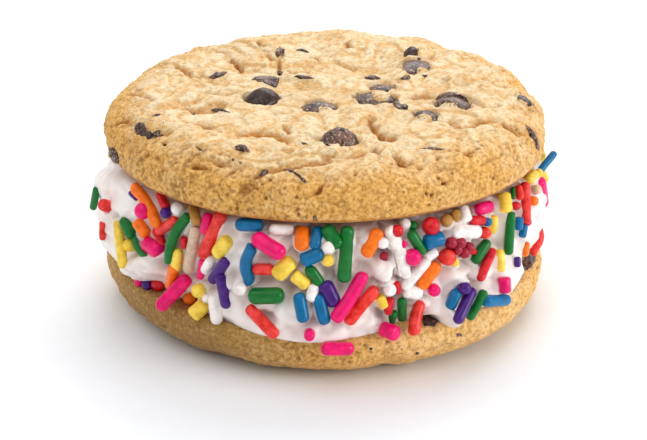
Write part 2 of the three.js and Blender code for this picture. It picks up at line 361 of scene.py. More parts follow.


# %% [markdown]
# ## Folds in the dough
# As the dough spreads in the oven its skin tears and slumps, which leaves short creases and little
# steps where one lobe stands above the next. Noise alone makes them all alike, so the larger ones are
# drawn: each is a line on the view with a depth, a width and a step. On the left of the way it runs, the
# dough stands up in a low lip. On the right it drops by the step and rises again over a wide slope, which
# gets painted golden shade, darkest in the crease. A fold fades toward its two ends, and the dough beside
# it is pinched in a little. The lines are carried to a coarse dome with the same lumps.

# %% Folds on the top cookie
def lumpy(points, height, seed, outline):
    """Gives points on a round cookie the solid's low lumps and its outline."""
    baked = np.clip((points[:, 2] - WIDEST_AT) / (height - WIDEST_AT), 0, 1)
    rise = baked * LUMP_HEIGHT * waves(points[:, 0], points[:, 1], seed)
    spread = outline_share(points, outline)
    return np.stack([points[:, 0] * spread, points[:, 1] * spread, points[:, 2] + rise], 1)


GUIDE_SPACING = 1.2
UNDER_TOP = 1.5  # how far the fine rings go in under the top cookie's edge
points, _, faces = cookie_points(section(TOP_HEIGHT, GUIDE_SPACING, UNDER_TOP), GUIDE_SPACING)
guide = lumpy(points, TOP_HEIGHT, TOP_SEED, TOP_OUTLINE) + (0, 0, ICE_ROOF)
dome_guide = BVHTree.FromPolygons(guide.tolist(), faces)

# depth mm, width mm, step mm, points of the line on the view
FOLDS = [
    (0.7, 0.45, 0.3, [(176, 64), (190, 72.5), (199, 76.5)]),
    (0.6, 0.6, 0.1, [(216, 48), (223, 51), (229, 52)]),
    (0.8, 0.55, 0.2, [(259, 42), (264, 46), (268, 48)]),
    (0.8, 0.6, 0.35, [(230, 56), (237, 63), (243, 69)]),
    (0.6, 0.5, 0.3, [(266, 54), (272, 61)]),
    (0.8, 0.7, 0.1, [(279, 60), (280, 66), (280, 73)]),
    (0.5, 0.7, 0.2, [(289, 71), (296, 73), (304, 72)]),
    (0.6, 0.45, 0.3, [(311, 56), (320, 60.5)]),
    (0.7, 0.4, 0.3, [(150, 99), (142, 95), (132, 94), (121, 96)]),
    (0.6, 0.45, 0.4, [(110, 130), (114, 125), (120, 120), (129, 117)]),
    (0.4, 0.45, 1.0, [(226, 105), (215, 110), (200, 112), (186, 111), (172, 107)]),
    (0.4, 0.5, 0.5, [(222, 128), (212, 130), (196, 126), (184, 123)]),
    (0.5, 0.5, 0.7, [(284, 141), (272, 136), (256, 134), (246, 136)]),
    (1.0, 0.4, 0.2, [(284, 123), (287, 128), (290, 131)]),
    (0.9, 0.5, 0.3, [(190, 165), (199, 167), (206, 166)]),
    (0.7, 0.45, 0.3, [(229, 164), (221, 163), (214, 161)]),
    (0.6, 0.45, 0.5, [(332, 158), (321, 161.7), (303, 165), (289, 167), (272, 171), (262, 175), (255, 178)]),
    (0.55, 0.6, 0.4, [(239, 191), (244, 186.5), (250, 184), (256, 186)]),
    (0.7, 0.5, 0.3, [(312, 193), (318, 189), (322, 182)]),
    (1.1, 0.6, 0.2, [(345, 42), (350, 48)]),
    (0.4, 0.5, 0.35, [(516, 83), (506, 85.5), (494, 84), (482, 78)]),
    (0.6, 0.5, 0.6, [(494, 122.5), (484, 124), (470, 128), (461, 128.5), (448, 123)]),
    (0.6, 0.45, 0.5, [(526, 136), (518, 133.5), (508, 128), (496, 124)]),
    (1.1, 0.8, 0.4, [(371, 117), (376, 127), (384, 139), (394, 137)]),
    (0.8, 0.5, 0.2, [(374, 149), (381, 153)]),
    (0.7, 0.5, 0.5, [(411, 163), (403, 166), (393, 156)]),
    (1.0, 0.5, 0.1, [(465, 153), (474, 152)]),
    (0.9, 0.4, 0.0, [(357, 171), (358, 173.5)]),
    (0.9, 0.4, 0.0, [(443, 181), (446, 183)]),
    (0.9, 0.35, 0.0, [(164, 144), (165, 146)]),
    (0.4, 0.5, 0.3, [(374, 151), (352, 155.5), (336, 158)]),
    (0.4, 0.5, 0.2, [(372, 66), (352, 68), (330, 60)]),
    (0.4, 0.5, 0.2, [(480, 64), (462, 66), (440, 60)]),
    (0.4, 0.5, 0.3, [(243, 90), (224, 96), (200, 92)]),
    (0.4, 0.5, 0.25, [(503, 103), (486, 106), (470, 100)]),
    (1.6, 0.6, 0.5, [(434, 96), (426, 95), (417, 95.5), (410, 98.5)]),
    (0.6, 0.6, 0.5, [(176, 133), (169, 136), (160, 134)]),
    (0.5, 0.5, 0.4, [(434, 53), (428, 60), (419, 59)]),
    (0.4, 0.5, 0.3, [(250, 165), (236, 168), (226, 176)]),
    (0.3, 0.5, 0.2, [(428, 175), (441, 168), (460, 166)]),
    (0.3, 0.5, 0.2, [(480, 165), (495, 158), (506, 149)]),
    (0.3, 0.5, 0.15, [(136, 160), (150, 156), (160, 160)]),
]
print(f"{len(FOLDS)} folds drawn on the top cookie")


def on_dome(u, v):
    """Where the line of sight through a point of the view meets the coarse dome."""
    return np.array(dome_guide.ray_cast(camera_place, sight(u, v))[0])


def folded(points, outward):
    """Height that the drawn folds add at each point, and from 0 to 1 the painted shade on a fold and in its
    split.
    """
    LIP, LIP_REACH = 0.25, 2.4  # the lip's height in steps, and how fast it fades in mm
    TROUGH = 3.8  # width of the slope on the right, in steps
    NARROWER = 0.8
    PINCH, PINCH_WIDTH = 0.2, 2.4  # in shares of the fold's depth and width
    END_FADE = 0.35
    CRUMBLE = 0.45
    shaken = 0.5 * scattered(points, 2.0, (31, 47)) + 0.36 * scattered(points, 0.85, (31, 47))
    bent = points + np.pad(shaken, ((0, 0), (0, 1)))
    crumbly = 1 + CRUMBLE * grain(points, 1.1, 66)
    lift, deep_shade, split = np.zeros(len(points)), np.zeros(len(points)), np.zeros(len(points))
    for depth, width, step, view_line in FOLDS:
        line = [on_dome(u, v) for u, v in view_line]
        middle = sum(line) / len(line)
        reach = max(np.linalg.norm(end - middle) for end in line) + 3 * LIP_REACH
        near = np.flatnonzero(np.linalg.norm(points - middle, axis=1) < reach)
        place, out = bent[near], outward[near]
        gap, side, along = np.full(len(near), 1e9), np.ones(len(near)), np.zeros(len(near))
        for i, (a, b) in enumerate(zip(line, line[1:])):
            share = np.clip((place - a) @ (b - a) / ((b - a) @ (b - a)), 0, 1)
            off = place - a - share[:, None] * (b - a)
            length = np.linalg.norm(off, axis=1)
            left = np.sign(np.einsum("ij,ij->i", np.cross(b - a, off), out))
            side = np.where(length < gap, left, side)
            along = np.where(length < gap, (i + share) / (len(line) - 1), along)
            gap = np.minimum(length, gap)
        fading = 1 - END_FADE * (2 * along - 1) ** 4
        valley = bell(gap, width * NARROWER * fading)
        pinch = PINCH * bell(gap, width * NARROWER * PINCH_WIDTH)
        on_right = smooth(-side * gap, -0.08, 0.12)
        slope = (1 - smooth(gap, 0, TROUGH * step + 0.01)) * on_right
        lift[near] += LIP * step * np.exp(-gap / LIP_REACH) * (1 - on_right)
        lift[near] -= (step * slope + depth * (valley + pinch) * fading) * crumbly[near]
        # painted shade: the slope and the valley get a darker golden colour, and the split gets the pits'
        # dark colour
        golden = np.maximum(valley * min(0.95, 0.9 * depth + 0.5 * step), slope * min(1, 1.4 * step))
        deep_shade[near] = np.maximum(deep_shade[near], golden * fading)
        split[near] = np.maximum(split[near], valley ** 3 * min(1, depth))
    return lift, deep_shade, split * smooth(grain(points, 1.8, 14), -0.3, 0.4)


# %% [markdown]
# ## Chocolate chips
# The chips are drops of dark chocolate that the dough has half swallowed. Each keeps the place and size
# of its solid. What shows of one is a window in the dough, drawn as an outline on the view: inside it
# the dough sinks under the chip, and beside it a thin blanket of dough lies over the chip.

# %% Where the chips are and what shows of them
# bearing, distance, radius, stretch, turn, tall, sunk, then for edge chips their height and lean
TOP_CHIPS = [
    (-161, 10.6, 2.9, 1.05, 20, 1.25, 0.5),
    (-85, 21.2, 2.9, 1.08, 5, 1.3, 0.42),
    (-26, 8.1, 3.2, 1.1, 10, 0.55, 0.6),
    (-15, 20.4, 3.0, 1.1, -30, 0.8, 0.55),
    (-36, 18.7, 2.4, 1.1, 80, 0.7, 0.6),
    (-100, 6.8, 2.8, 1.1, 20, 0.6, 0.6),
    (50, 21.9, 1.7, 1.15, 80, 1.3, 0.35),
    (37, 17.9, 3.0, 1.2, 60, 0.45, 0.6),
    (-151, 31.0, 2.4, 1.1, 30, 0.8, 0.55, 6.9, 28),
    (-4, 31.8, 1.9, 1.3, -50, 0.7, 0.55, 6.5, 35),
    (12, 9.1, 2.1, 1.1, 0, 0.5, 0.6),
]
BOTTOM_CHIPS = [
    (12, 34.0, 1.5, 1.35, -90, 1.0, 0.55, 0.9, 130),
    (-64, 34.3, 2.0, 1.3, -70, 0.8, 0.55, 3.6, 80),
    (-149, 33.6, 2.2, 1.2, -120, 0.8, 0.55, 4.6, 65),
]
WINDOWS = [
    [(251, 80), (255, 77), (263, 75.8), (274, 76.5), (279, 78.5), (277.5, 84), (275.5, 87), (281, 92),
     (280, 98), (271.5, 104), (261.5, 105), (251, 103), (244, 98), (243, 92), (247.5, 90), (252, 88.5),
     (257, 84.5), (262.5, 81.5), (257, 80.8)],
    [(318, 141), (322.5, 133), (332, 122), (336, 119), (345, 120), (352, 129), (360, 140), (351, 146),
     (342, 144), (334, 146), (327, 144)],
    [(353, 96.5), (356.5, 92.3), (366.5, 90.7), (370, 93), (372.5, 99.6), (377.5, 102.2), (385, 102),
     (389.5, 100), (391.5, 95), (397, 95.7), (397, 101.5), (399, 106), (393, 106), (385, 105), (376.5, 107.3),
     (368, 105.8), (360, 102)],
    [(434, 96.5), (439.5, 93), (448, 91.3), (458, 92), (469.5, 99), (471.5, 109.5), (464, 109.5), (457, 105),
     (452, 100), (448, 99.8), (443, 103), (436, 106), (433, 101.5)],
    [(411, 110), (420.5, 107), (433, 106.2), (439, 112), (437, 117.5), (433.7, 122.5), (432.5, 117.2),
     (428, 114.2), (421, 113.5), (415.5, 116.5)],
    [(302.5, 105.6), (306, 100.7), (308, 98.3), (312, 95.5), (314.5, 93.2), (316.5, 94.7), (316.3, 97),
     (323, 100), (322, 103), (330, 104), (335.5, 105.4), (339.5, 110.4), (334, 108.3), (325, 106.2),
     (317, 106.5), (318, 110.2), (309.5, 111.2), (304.5, 111.6)],
    [(403, 50), (404.3, 45.5), (407, 42.6), (411, 42), (417.5, 44.8), (421.5, 45.9), (416.5, 48), (415, 49),
     (416.3, 51), (416.5, 58), (408.5, 58.8), (404.5, 56.5)],
    [(396, 60.3), (404, 61), (408, 58.6), (415, 58.6), (417.5, 61.2), (424, 62), (430.5, 65.5),
     (433.6, 71), (431.5, 74.3), (429, 70), (424, 67.2), (416.4, 66.8), (416, 72), (410.5, 73.3),
     (403.4, 72.3), (404, 63)],
    [(134, 130), (135, 125.2), (139, 122), (142.7, 122.6), (144, 125.5), (143.8, 130), (146, 132.8),
     (152.7, 133.4), (156, 132.8), (158, 130.6), (159.5, 130.3), (161, 135.7), (156.7, 137.6),
     (148.5, 137.2), (142, 135.6), (137, 134)],
    [(515.5, 95.8), (519, 94.7), (526, 95.8), (533.7, 99.8), (539, 104.3), (540.3, 110), (537.6, 109),
     (533, 104.7), (531, 104.2), (529, 106), (528, 101.7), (524, 100.8), (521, 98.7), (517, 98.2)],
    [(367.5, 85), (373, 82.6), (383, 82.6), (390.8, 84.7), (396, 86.5), (391.7, 88.2), (386, 91),
     (377.4, 90.7), (369, 90.3)],
]
# how far out from a chip's axis and how high, in shares of its radius and its height
CHIP_TOP = [(0, 1), (0.22, 0.96), (0.5, 0.84), (0.74, 0.68), (0.9, 0.52), (1, 0.34), (1.6, -1.5)]
print(f"{len(TOP_CHIPS)} chips in the top cookie, {len(BOTTOM_CHIPS)} in the bottom one")


def polar(bearing, distance):
    """The x and y of a place at a bearing in degrees and a distance from the axis."""
    angle = math.radians(bearing)
    return distance * math.cos(angle), distance * math.sin(angle)


def chip_level(row):
    """The height of a chip's reference level on the top cookie."""
    if len(row) > 7:
        return row[7]
    x, y = polar(*row[:2])
    return dome_height(row[1], TOP_HEIGHT) + LUMP_HEIGHT * waves(x, y, TOP_SEED)


def seated(points, chips, windows):
    """The dough's height round its chips, and how close a chip is, from 0 to 1."""
    BLANKET = 0.3  # thickness in mm of the dough over a chip
    SEAT = 0.4  # how far the dough in a window stays under the chip
    REACH = 1.6  # in radii of the chip
    x, y, z = points[:, 0], points[:, 1], points[:, 2].copy()
    close = np.zeros(len(points))
    ripple = 0.05 * grain(points, 0.9, 90)
    for row, window in zip(chips, windows):
        bearing, distance, radius, stretch, turn, tall, sunk = row[:7]
        cx, cy = polar(bearing, distance)
        dx, dy, angle = x - cx, y - cy, math.radians(turn)
        along = (dx * math.cos(angle) + dy * math.sin(angle)) / (radius * stretch)
        across = (dy * math.cos(angle) - dx * math.sin(angle)) / (radius / stretch)
        out = np.hypot(along, across) + ripple
        near = np.flatnonzero(out < REACH)
        lean = math.tan(math.radians(row[8])) if len(row) > 8 else 0
        fall = lean * (dx * math.cos(math.radians(bearing)) + dy * math.sin(math.radians(bearing)))
        share = np.interp(out[near], *zip(*CHIP_TOP))
        top = ICE_ROOF + chip_level(row) - fall[near] + (share - sunk) * tall * radius
        spot = np.stack([x[near], y[near], np.maximum(z[near], top)], 1)
        shown = smooth(inside_by(*on_view(spot), window) + 8 * ripple[near], -1.9, -0.4)
        beside = smooth(z[near], top - 2.4, top - 1.4)
        shown *= (1 - smooth(out[near], 1.0, 1.12)) * beside
        blanket = beside * (1 - smooth(out[near], 1.05, 1.3))
        covered = z[near] + (np.maximum(z[near], top + BLANKET) - z[near]) * blanket
        z[near] = covered + (np.minimum(z[near], top - SEAT) - covered) * shown
        close = np.maximum(close, bell(np.maximum(out - 0.9, 0), 0.35))
    return z, close


# %% [markdown]
# ## Baked dough
# The cookies are sugar and butter dough, baked pale: cream on the dome and golden on the wall, with
# painted shade in the creases. Coarse sugar and flour give the skin a grain of about half a millimetre.
# A shader alone could fake that grain, but the outline would stay smooth, so most of it is in the mesh
# and only the finest is bump. Each point carries how browned it is, its painted shade in creases, low
# places and pits, and how near a chip that smears cocoa, and the shader mixes its colours from those.

# %% Material: baked dough
def baked_dough(name, pale, golden, low_shade, deep_shade, pit_shade):
    """Flour, butter and sugar dough from the oven: matt, slightly translucent, with a sugary grain."""
    GRAIN, CLOUD = 0.55 * MM, 7 * MM
    SUGAR_AND_GLINT, COCOA = "#F8DCA2", "#8A5A3C"
    made, tree, place = material(name)
    told = {key: add(tree, "Attribute", attribute_name=key).outputs["Fac"]
            for key in ("browned", "painted_shade", "low", "pit_shade", "cocoa")}
    fine = add(tree, "TexNoise", {"Vector": place, "Scale": 1 / GRAIN, "Detail": 3.0, "Roughness": 0.62})
    broad = add(tree, "TexNoise", {"Vector": place, "Scale": 1 / CLOUD, "Detail": 4.0, "Roughness": 0.6})
    uneven = add(tree, "MapRange", {"Value": broad.outputs["Fac"], "From Min": 0.3, "From Max": 0.7,
                                    "To Min": -0.3, "To Max": 0.3})
    mottled = add(tree, "Math", {0: told["browned"], 1: uneven.outputs[0]}, operation="ADD", use_clamp=True)
    crumb = blend(tree, mottled.outputs[0], pale, golden)
    # painted shade: the low places get a deeper honey colour, and more so where the dough is pale
    deepened = add(tree, "MapRange", {"Value": told["browned"], "To Min": 0.78, "To Max": 0.68}).outputs[0]
    low_shaded = blend(tree, times(tree, told["low"], deepened), crumb, low_shade)
    # painted shade on the fold slopes and creases, along the base edge and on the bottom cookie's shaded side
    shade_painted = blend(tree, ramp(tree, told["painted_shade"], 0.05, 0.85), low_shaded, deep_shade)
    # dark specks, partly painted shade in the grain's dips, and painted shade in the pits; fewer where the
    # dough is pale
    speck_and_shade = ramp(tree, fine.outputs["Fac"], 0.53, 0.35)
    gritty = add(tree, "MapRange", {"Value": told["browned"], "To Min": 0.26, "To Max": 0.52}).outputs[0]
    speckled = blend(tree, times(tree, speck_and_shade, gritty), shade_painted, pit_shade)
    pitted = blend(tree, times(tree, told["pit_shade"], 0.8), speckled, pit_shade)
    # pale sugar with a painted glint on the high grains, and cocoa beside the chips
    sugary = add(tree, "MapRange", {"Value": told["painted_shade"], "To Min": 0.5, "To Max": 0.15}).outputs[0]
    sugar_and_glint = blend(tree, times(tree, ramp(tree, fine.outputs["Fac"], 0.54, 0.68), sugary), pitted, SUGAR_AND_GLINT)
    near_chip = times(tree, told["cocoa"], ramp(tree, fine.outputs["Fac"], 0.54, 0.66))
    smeared = blend(tree, near_chip, sugar_and_glint, COCOA)
    bump = add(tree, "Bump", {"Height": fine.outputs["Fac"], "Strength": 0.75, "Distance": 0.25 * MM})
    dough = add(tree, "BsdfPrincipled", {
        "Base Color": smeared, "Roughness": 0.72, "Specular IOR Level": 0.3, "IOR": 1.45,
        "Subsurface Weight": 0.08, "Subsurface Radius": (0.9, 0.6, 0.3), "Subsurface Scale": 0.8 * MM,
        "Sheen Weight": 0.05, "Sheen Roughness": 0.6, "Normal": bump.outputs[0],
    })
    add(tree, "OutputMaterial", {"Surface": dough.outputs[0]})
    return made


baked_pale = baked_dough("baked_dough_top", "#E8D4AE", "#E4AD59", "#D29A48", "#BE7C2A", "#7E4B1C")
baked_gold = baked_dough("baked_dough_bottom", "#EED2A4", "#F0B864", "#D8A04C", "#9E783C", "#80542A")

# %% [markdown]
# ## The skin of the dough
# Both cookies have the same fine relief: soft lumps of half a centimetre, smaller ones as big as a crumb,
# flakes, flat lobes with winding ledges between them, cracks, sugar grain, and small holes, which are
# denser on the wall, where the skin stretched. Each kind is noise of its own size in millimetres.

# %% Crumb relief
def crumb_relief(points, wall):
    """The fine relief of dough, and from 0 to 1 the painted shade of its low places and of its pits."""
    LUMP, NUT, FLAKE, LEDGE, CRACK, HOLE = 0.44, 0.29, 0.2, 0.32, 0.22, 0.5
    SUNK = 0.15  # puts the middle of the relief on the solid's surface
    warped = points + 0.55 * scattered(points, 2.4, (11, 43, 71))
    rough = smooth(grain(points, 7.0, 23), -0.2, 0.35)
    lump = LUMP * pebbles(points, 6.5, 3)
    nut = NUT * pebbles(warped, 2.7, 8) * (0.45 + 0.55 * rough)
    flaky = FLAKE * pebbles(warped, 1.3, 29) * (0.25 + 0.75 * rough)
    sugar = 0.09 * grain(points, 0.95, 12) + 0.07 * grain(points, 0.55, 19)
    crack = bell(grain(warped, 2.8, 52), 0.06) * smooth(grain(points, 2.6, 61), 0.1, 0.35)
    holes = smooth(cells(points, 1.5, 5), 0.27, 0.1) * smooth(grain(points, 3.1, 77), -0.2, 0.2)
    rise, brink = ledges(warped, 7.0, 91)
    lift = (lump + nut) * (1 - 0.4 * wall) + flaky + sugar * (0.7 + 0.9 * wall) - SUNK
    lift += LEDGE * rise * (1 - 0.5 * wall)
    lift -= CRACK * crack + HOLE * holes * (0.15 + wall)
    # painted shade: a darker colour in the low grains, below the ledges' steps, in the cracks and in the
    # holes
    low = np.maximum(smooth(-(nut + flaky + sugar), -0.06, 0.2), 0.9 * brink)
    pit_shade = np.clip(0.35 * crack + holes * (0.3 + wall), 0, 1)
    return lift, low, pit_shade


# %% [markdown]
# ## The top cookie
# Its points start on the round section, take the solid's lumps and outline, and then move along their
# outward direction by the drawn folds and the fine relief. The wall is coarser at the front left and has
# painted light at the right, and its base edge has a painted shadow line that is partly a browner
# underside. Last, the dough is fitted to the chips.

# %% Top cookie mesh
TOP_SPACING = 0.25
COARSE_SIDE, LIT_SIDE = (-130, 42), (-16, 34)  # bearing and half width in degrees
rings = section(TOP_HEIGHT, TOP_SPACING, UNDER_TOP)
round_points, outward, faces = cookie_points(rings, TOP_SPACING)
points = lumpy(round_points, TOP_HEIGHT, TOP_SEED, TOP_OUTLINE) + (0, 0, ICE_ROOF)
distance = np.hypot(round_points[:, 0], round_points[:, 1])
wall = smooth(distance, 27, 33.5)
under = smooth(round_points[:, 2], 1.3, 0.3)
fold_lift, fold_shade, split = folded(points, outward)
fine_lift, low, pit_shade = crumb_relief(points, wall)
around = bearing_of(points)
coarse = at_side(around, COARSE_SIDE) * wall * grain(points, 0.8, 33)
fine_lift += 0.17 * coarse
# painted shade in the low spots of the coarse wall
pit_shade = np.maximum(pit_shade, 0.7 * smooth(-coarse, 0.1, 0.4))
points += outward * (fold_lift * (1 - under) + fine_lift * (1 - 0.8 * under))[:, None]
points[:, 2], chip_close = seated(points, TOP_CHIPS, WINDOWS)
points[:, 2] = np.maximum(points[:, 2], ICE_ROOF - 0.05)
# painted light: the wall is paler at the right, where the side light falls
painted_light = 0.28 * at_side(around, LIT_SIDE) * wall
browned = np.clip(0.08 + 0.92 * smooth(distance, 27.5, 34.5) - 0.2 * under - painted_light, 0, 1)
# painted shadow line along the base edge, partly a browner underside
base_edge_shade = 0.75 * smooth(round_points[:, 2], 0.95, 0.45)
painted_shade, pit_shade = np.maximum(fold_shade, base_edge_shade), np.maximum(pit_shade, split)
piece(
    "top_cookie_dough", points, faces, baked_pale, ["top_cookie"],
    {"browned": browned, "painted_shade": painted_shade, "low": low, "pit_shade": pit_shade, "cocoa": chip_close},
)
top_dough = BVHTree.FromPolygons(points.tolist(), faces)

# %% [markdown]
# ## The bottom cookie
# The same dough, turned over, so its flat base is up and its dome rests on the floor. Little of it shows:
# the wall, where it is porous, and a narrow strip of the flat base beside the ice cream. Its colour has
# painted shade at the left and painted light at the front right.

# %% Bottom cookie mesh
BOTTOM_SPACING = 0.3
UNDER_BOTTOM = 6
PRESSED = 0.35  # how much of the lumps' height is pressed flat, as on the solid
# bearing and half width of the painted shade at the left and of the painted light at the front right
SHADED_SIDE, LIT_FRONT = (-138, 46), (-45, 32)
rings = section(BOTTOM_HEIGHT, BOTTOM_SPACING, UNDER_BOTTOM)
round_points, outward, faces = cookie_points(rings, BOTTOM_SPACING)
distance = np.hypot(round_points[:, 0], round_points[:, 1])
wall = smooth(distance, 26, 32)
flat = smooth(round_points[:, 2], 0.5, 0.1)
baked = np.clip((round_points[:, 2] - WIDEST_AT) / (BOTTOM_HEIGHT - WIDEST_AT), 0, 1)
loose = smooth(distance, RESTING_RADIUS, RESTING_RADIUS + 6)
lumps = LUMP_HEIGHT * waves(round_points[:, 0], round_points[:, 1], BOTTOM_SEED)
fine_lift, low, pit_shade = crumb_relief(round_points + 200, wall)
fine_lift *= 0.8
points = round_points.copy()
points[:, 2] += baked * loose * np.minimum(lumps - PRESSED * LUMP_HEIGHT, 0)
points[:, :2] *= outline_share(points, BOTTOM_OUTLINE)[:, None]
points += outward * (fine_lift * (1 - 0.75 * flat) * np.maximum(loose, 0.1))[:, None]
points[:, 2] = np.clip(points[:, 2], -0.1, BOTTOM_HEIGHT)
points = np.stack([points[:, 0], -points[:, 1], BOTTOM_HEIGHT - points[:, 2]], 1)
around = bearing_of(points)
browned = np.clip(0.25 + 0.75 * wall - 0.2 * flat, 0, 1)
# painted light at the front right, and painted shade at the left
browned = np.clip(browned - 0.35 * at_side(around, LIT_FRONT), 0, 1)
shade_painted = 0.8 * at_side(around, SHADED_SIDE)
piece(
    "bottom_cookie_dough", points, faces, baked_gold, ["bottom_cookie"],
    {"browned": browned, "painted_shade": shade_painted, "low": low, "pit_shade": pit_shade, "cocoa": 0 * low},
)
bottom_dough = BVHTree.FromPolygons(points.tolist(), faces)

# %% [markdown]
# ## Chocolate
# Dark couverture that melted and set again loses its gloss: a grey bloom of cocoa butter settles on it
# in patches, with flour and crumbs in its cracks. Under that it is a satin near-black brown.

# %% Material: bloomed dark chocolate
chocolate, tree, place = material("bloomed_dark_chocolate")
patches = add(tree, "TexNoise", {"Vector": place, "Scale": 1 / (2.2 * MM), "Detail": 4.0, "Roughness": 0.65})
dust = add(tree, "TexNoise", {"Vector": place, "Scale": 1 / (0.35 * MM), "Detail": 2.0})
dusty = add(tree, "Attribute", attribute_name="dusty").outputs["Fac"]
faded = times(tree, ramp(tree, patches.outputs["Fac"], 0.42, 0.6), dusty)
bloom = blend(tree, faded, "#2C1612", "#7E5C54")
flecks = times(tree, ramp(tree, dust.outputs["Fac"], 0.56, 0.64), dusty)
dusted = blend(tree, flecks, bloom, "#C9A684")
bump = add(tree, "Bump", {"Height": dust.outputs["Fac"], "Strength": 0.6, "Distance": 0.12 * MM})
cocoa = add(tree, "BsdfPrincipled", {
    "Base Color": dusted, "Roughness": 0.32, "IOR": 1.46, "Specular IOR Level": 0.38,
    "Coat Weight": 0.12, "Coat Roughness": 0.2, "Normal": bump.outputs[0],
})
add(tree, "OutputMaterial", {"Surface": cocoa.outputs[0]})

# %% [markdown]
# Every chip is a drop turned round its axis, squeezed, tilted and placed as its solid is, then made
# uneven with noise. All of them are one piece, since they are one kind of thing.

# %% Chips
CHIP_SIDES, CHIP_STEPS = 40, 30
DROP = [(0, 0), (0.6, 0.0), (0.85, 0.06), (0.97, 0.18)] + CHIP_TOP[-2::-1]


def turned(profile, sides, steps):
    """Points and faces of a profile turned round the z axis, closed at both ends."""
    line = np.array(profile, float)
    places = np.linspace(0, len(line) - 1, steps)
    fine = np.stack([np.interp(places, range(len(line)), line[:, k]) for k in (0, 1)], 1)[::-1]
    counts = [1 if d < 1e-6 else sides for d, _ in fine]
    rows = []
    for (d, z), count in zip(fine, counts):
        angle = 2 * math.pi * np.arange(count) / count
        rows.append(np.stack([d * np.cos(angle), d * np.sin(angle), np.full(count, z)], 1))
    return np.concatenate(rows), stitched(counts)


def turn_about(points, axis, degrees):
    """Points turned about the y or z axis."""
    c, s = math.cos(math.radians(degrees)), math.sin(math.radians(degrees))
    matrix = {"z": [[c, -s, 0], [s, c, 0], [0, 0, 1]], "y": [[c, 0, s], [0, 1, 0], [-s, 0, c]]}[axis]
    return points @ np.array(matrix).T


def chip(row):
    """A chip's points on a cookie whose flat base is at z = 0, and its faces."""
    bearing, distance, radius, stretch, turn, tall, sunk = row[:7]
    lean = row[8] if len(row) > 8 else 0
    height = tall * radius
    points, faces = turned([(d * radius, (z - sunk) * height) for d, z in DROP], CHIP_SIDES, CHIP_STEPS)
    points = turn_about(points * (stretch, 1 / stretch, 1), "z", turn - (bearing if lean else 0))
    points = turn_about(turn_about(points, "y", lean), "z", bearing if lean else 0)
    place = np.array([*polar(bearing, distance), chip_level(row)])
    uneven = 0.12 * grain(points, 1.5, bearing) + 0.07 * grain(points, 0.7, bearing) - 0.05
    return points + place + points / radius * uneven[:, None] * 1.6, faces


def joined(parts):
    """Several (points, faces) as one."""
    all_points, all_faces, first = [], [], 0
    for points, faces in parts:
        all_points.append(points)
        all_faces += [tuple(i + first for i in face) for face in faces]
        first += len(points)
    return np.concatenate(all_points), all_faces


on_top = [(points + (0, 0, ICE_ROOF), faces) for points, faces in map(chip, TOP_CHIPS)]
below = [(points * (1, -1, -1) + (0, 0, BOTTOM_HEIGHT), [face[::-1] for face in faces])
         for points, faces in map(chip, BOTTOM_CHIPS)]
chip_nodes = [f"top_chip_{i + 1}" for i in range(len(TOP_CHIPS))]
chip_nodes += [f"bottom_chip_{i + 1}" for i in range(len(BOTTOM_CHIPS))]
DUSTY = [0.12, 0.75, 0.65, 0.7, 0.6, 0.8, 0.1, 0.6, 0.15, 0.7, 0.8, 0.4, 0.4, 0.4]
points, faces = joined(on_top + below)
dusty = np.repeat(DUSTY, [len(part[0]) for part in on_top + below])
piece("chocolate_chips", points, faces, chocolate, chip_nodes, {"dusty": dusty})

# %% [markdown]
# Broken bits of chip show as thin dark slivers in the skin. Each is drawn as an outline on the view and
# laid on the dough: a thin flake that is thickest in its middle and sinks in at its edge.

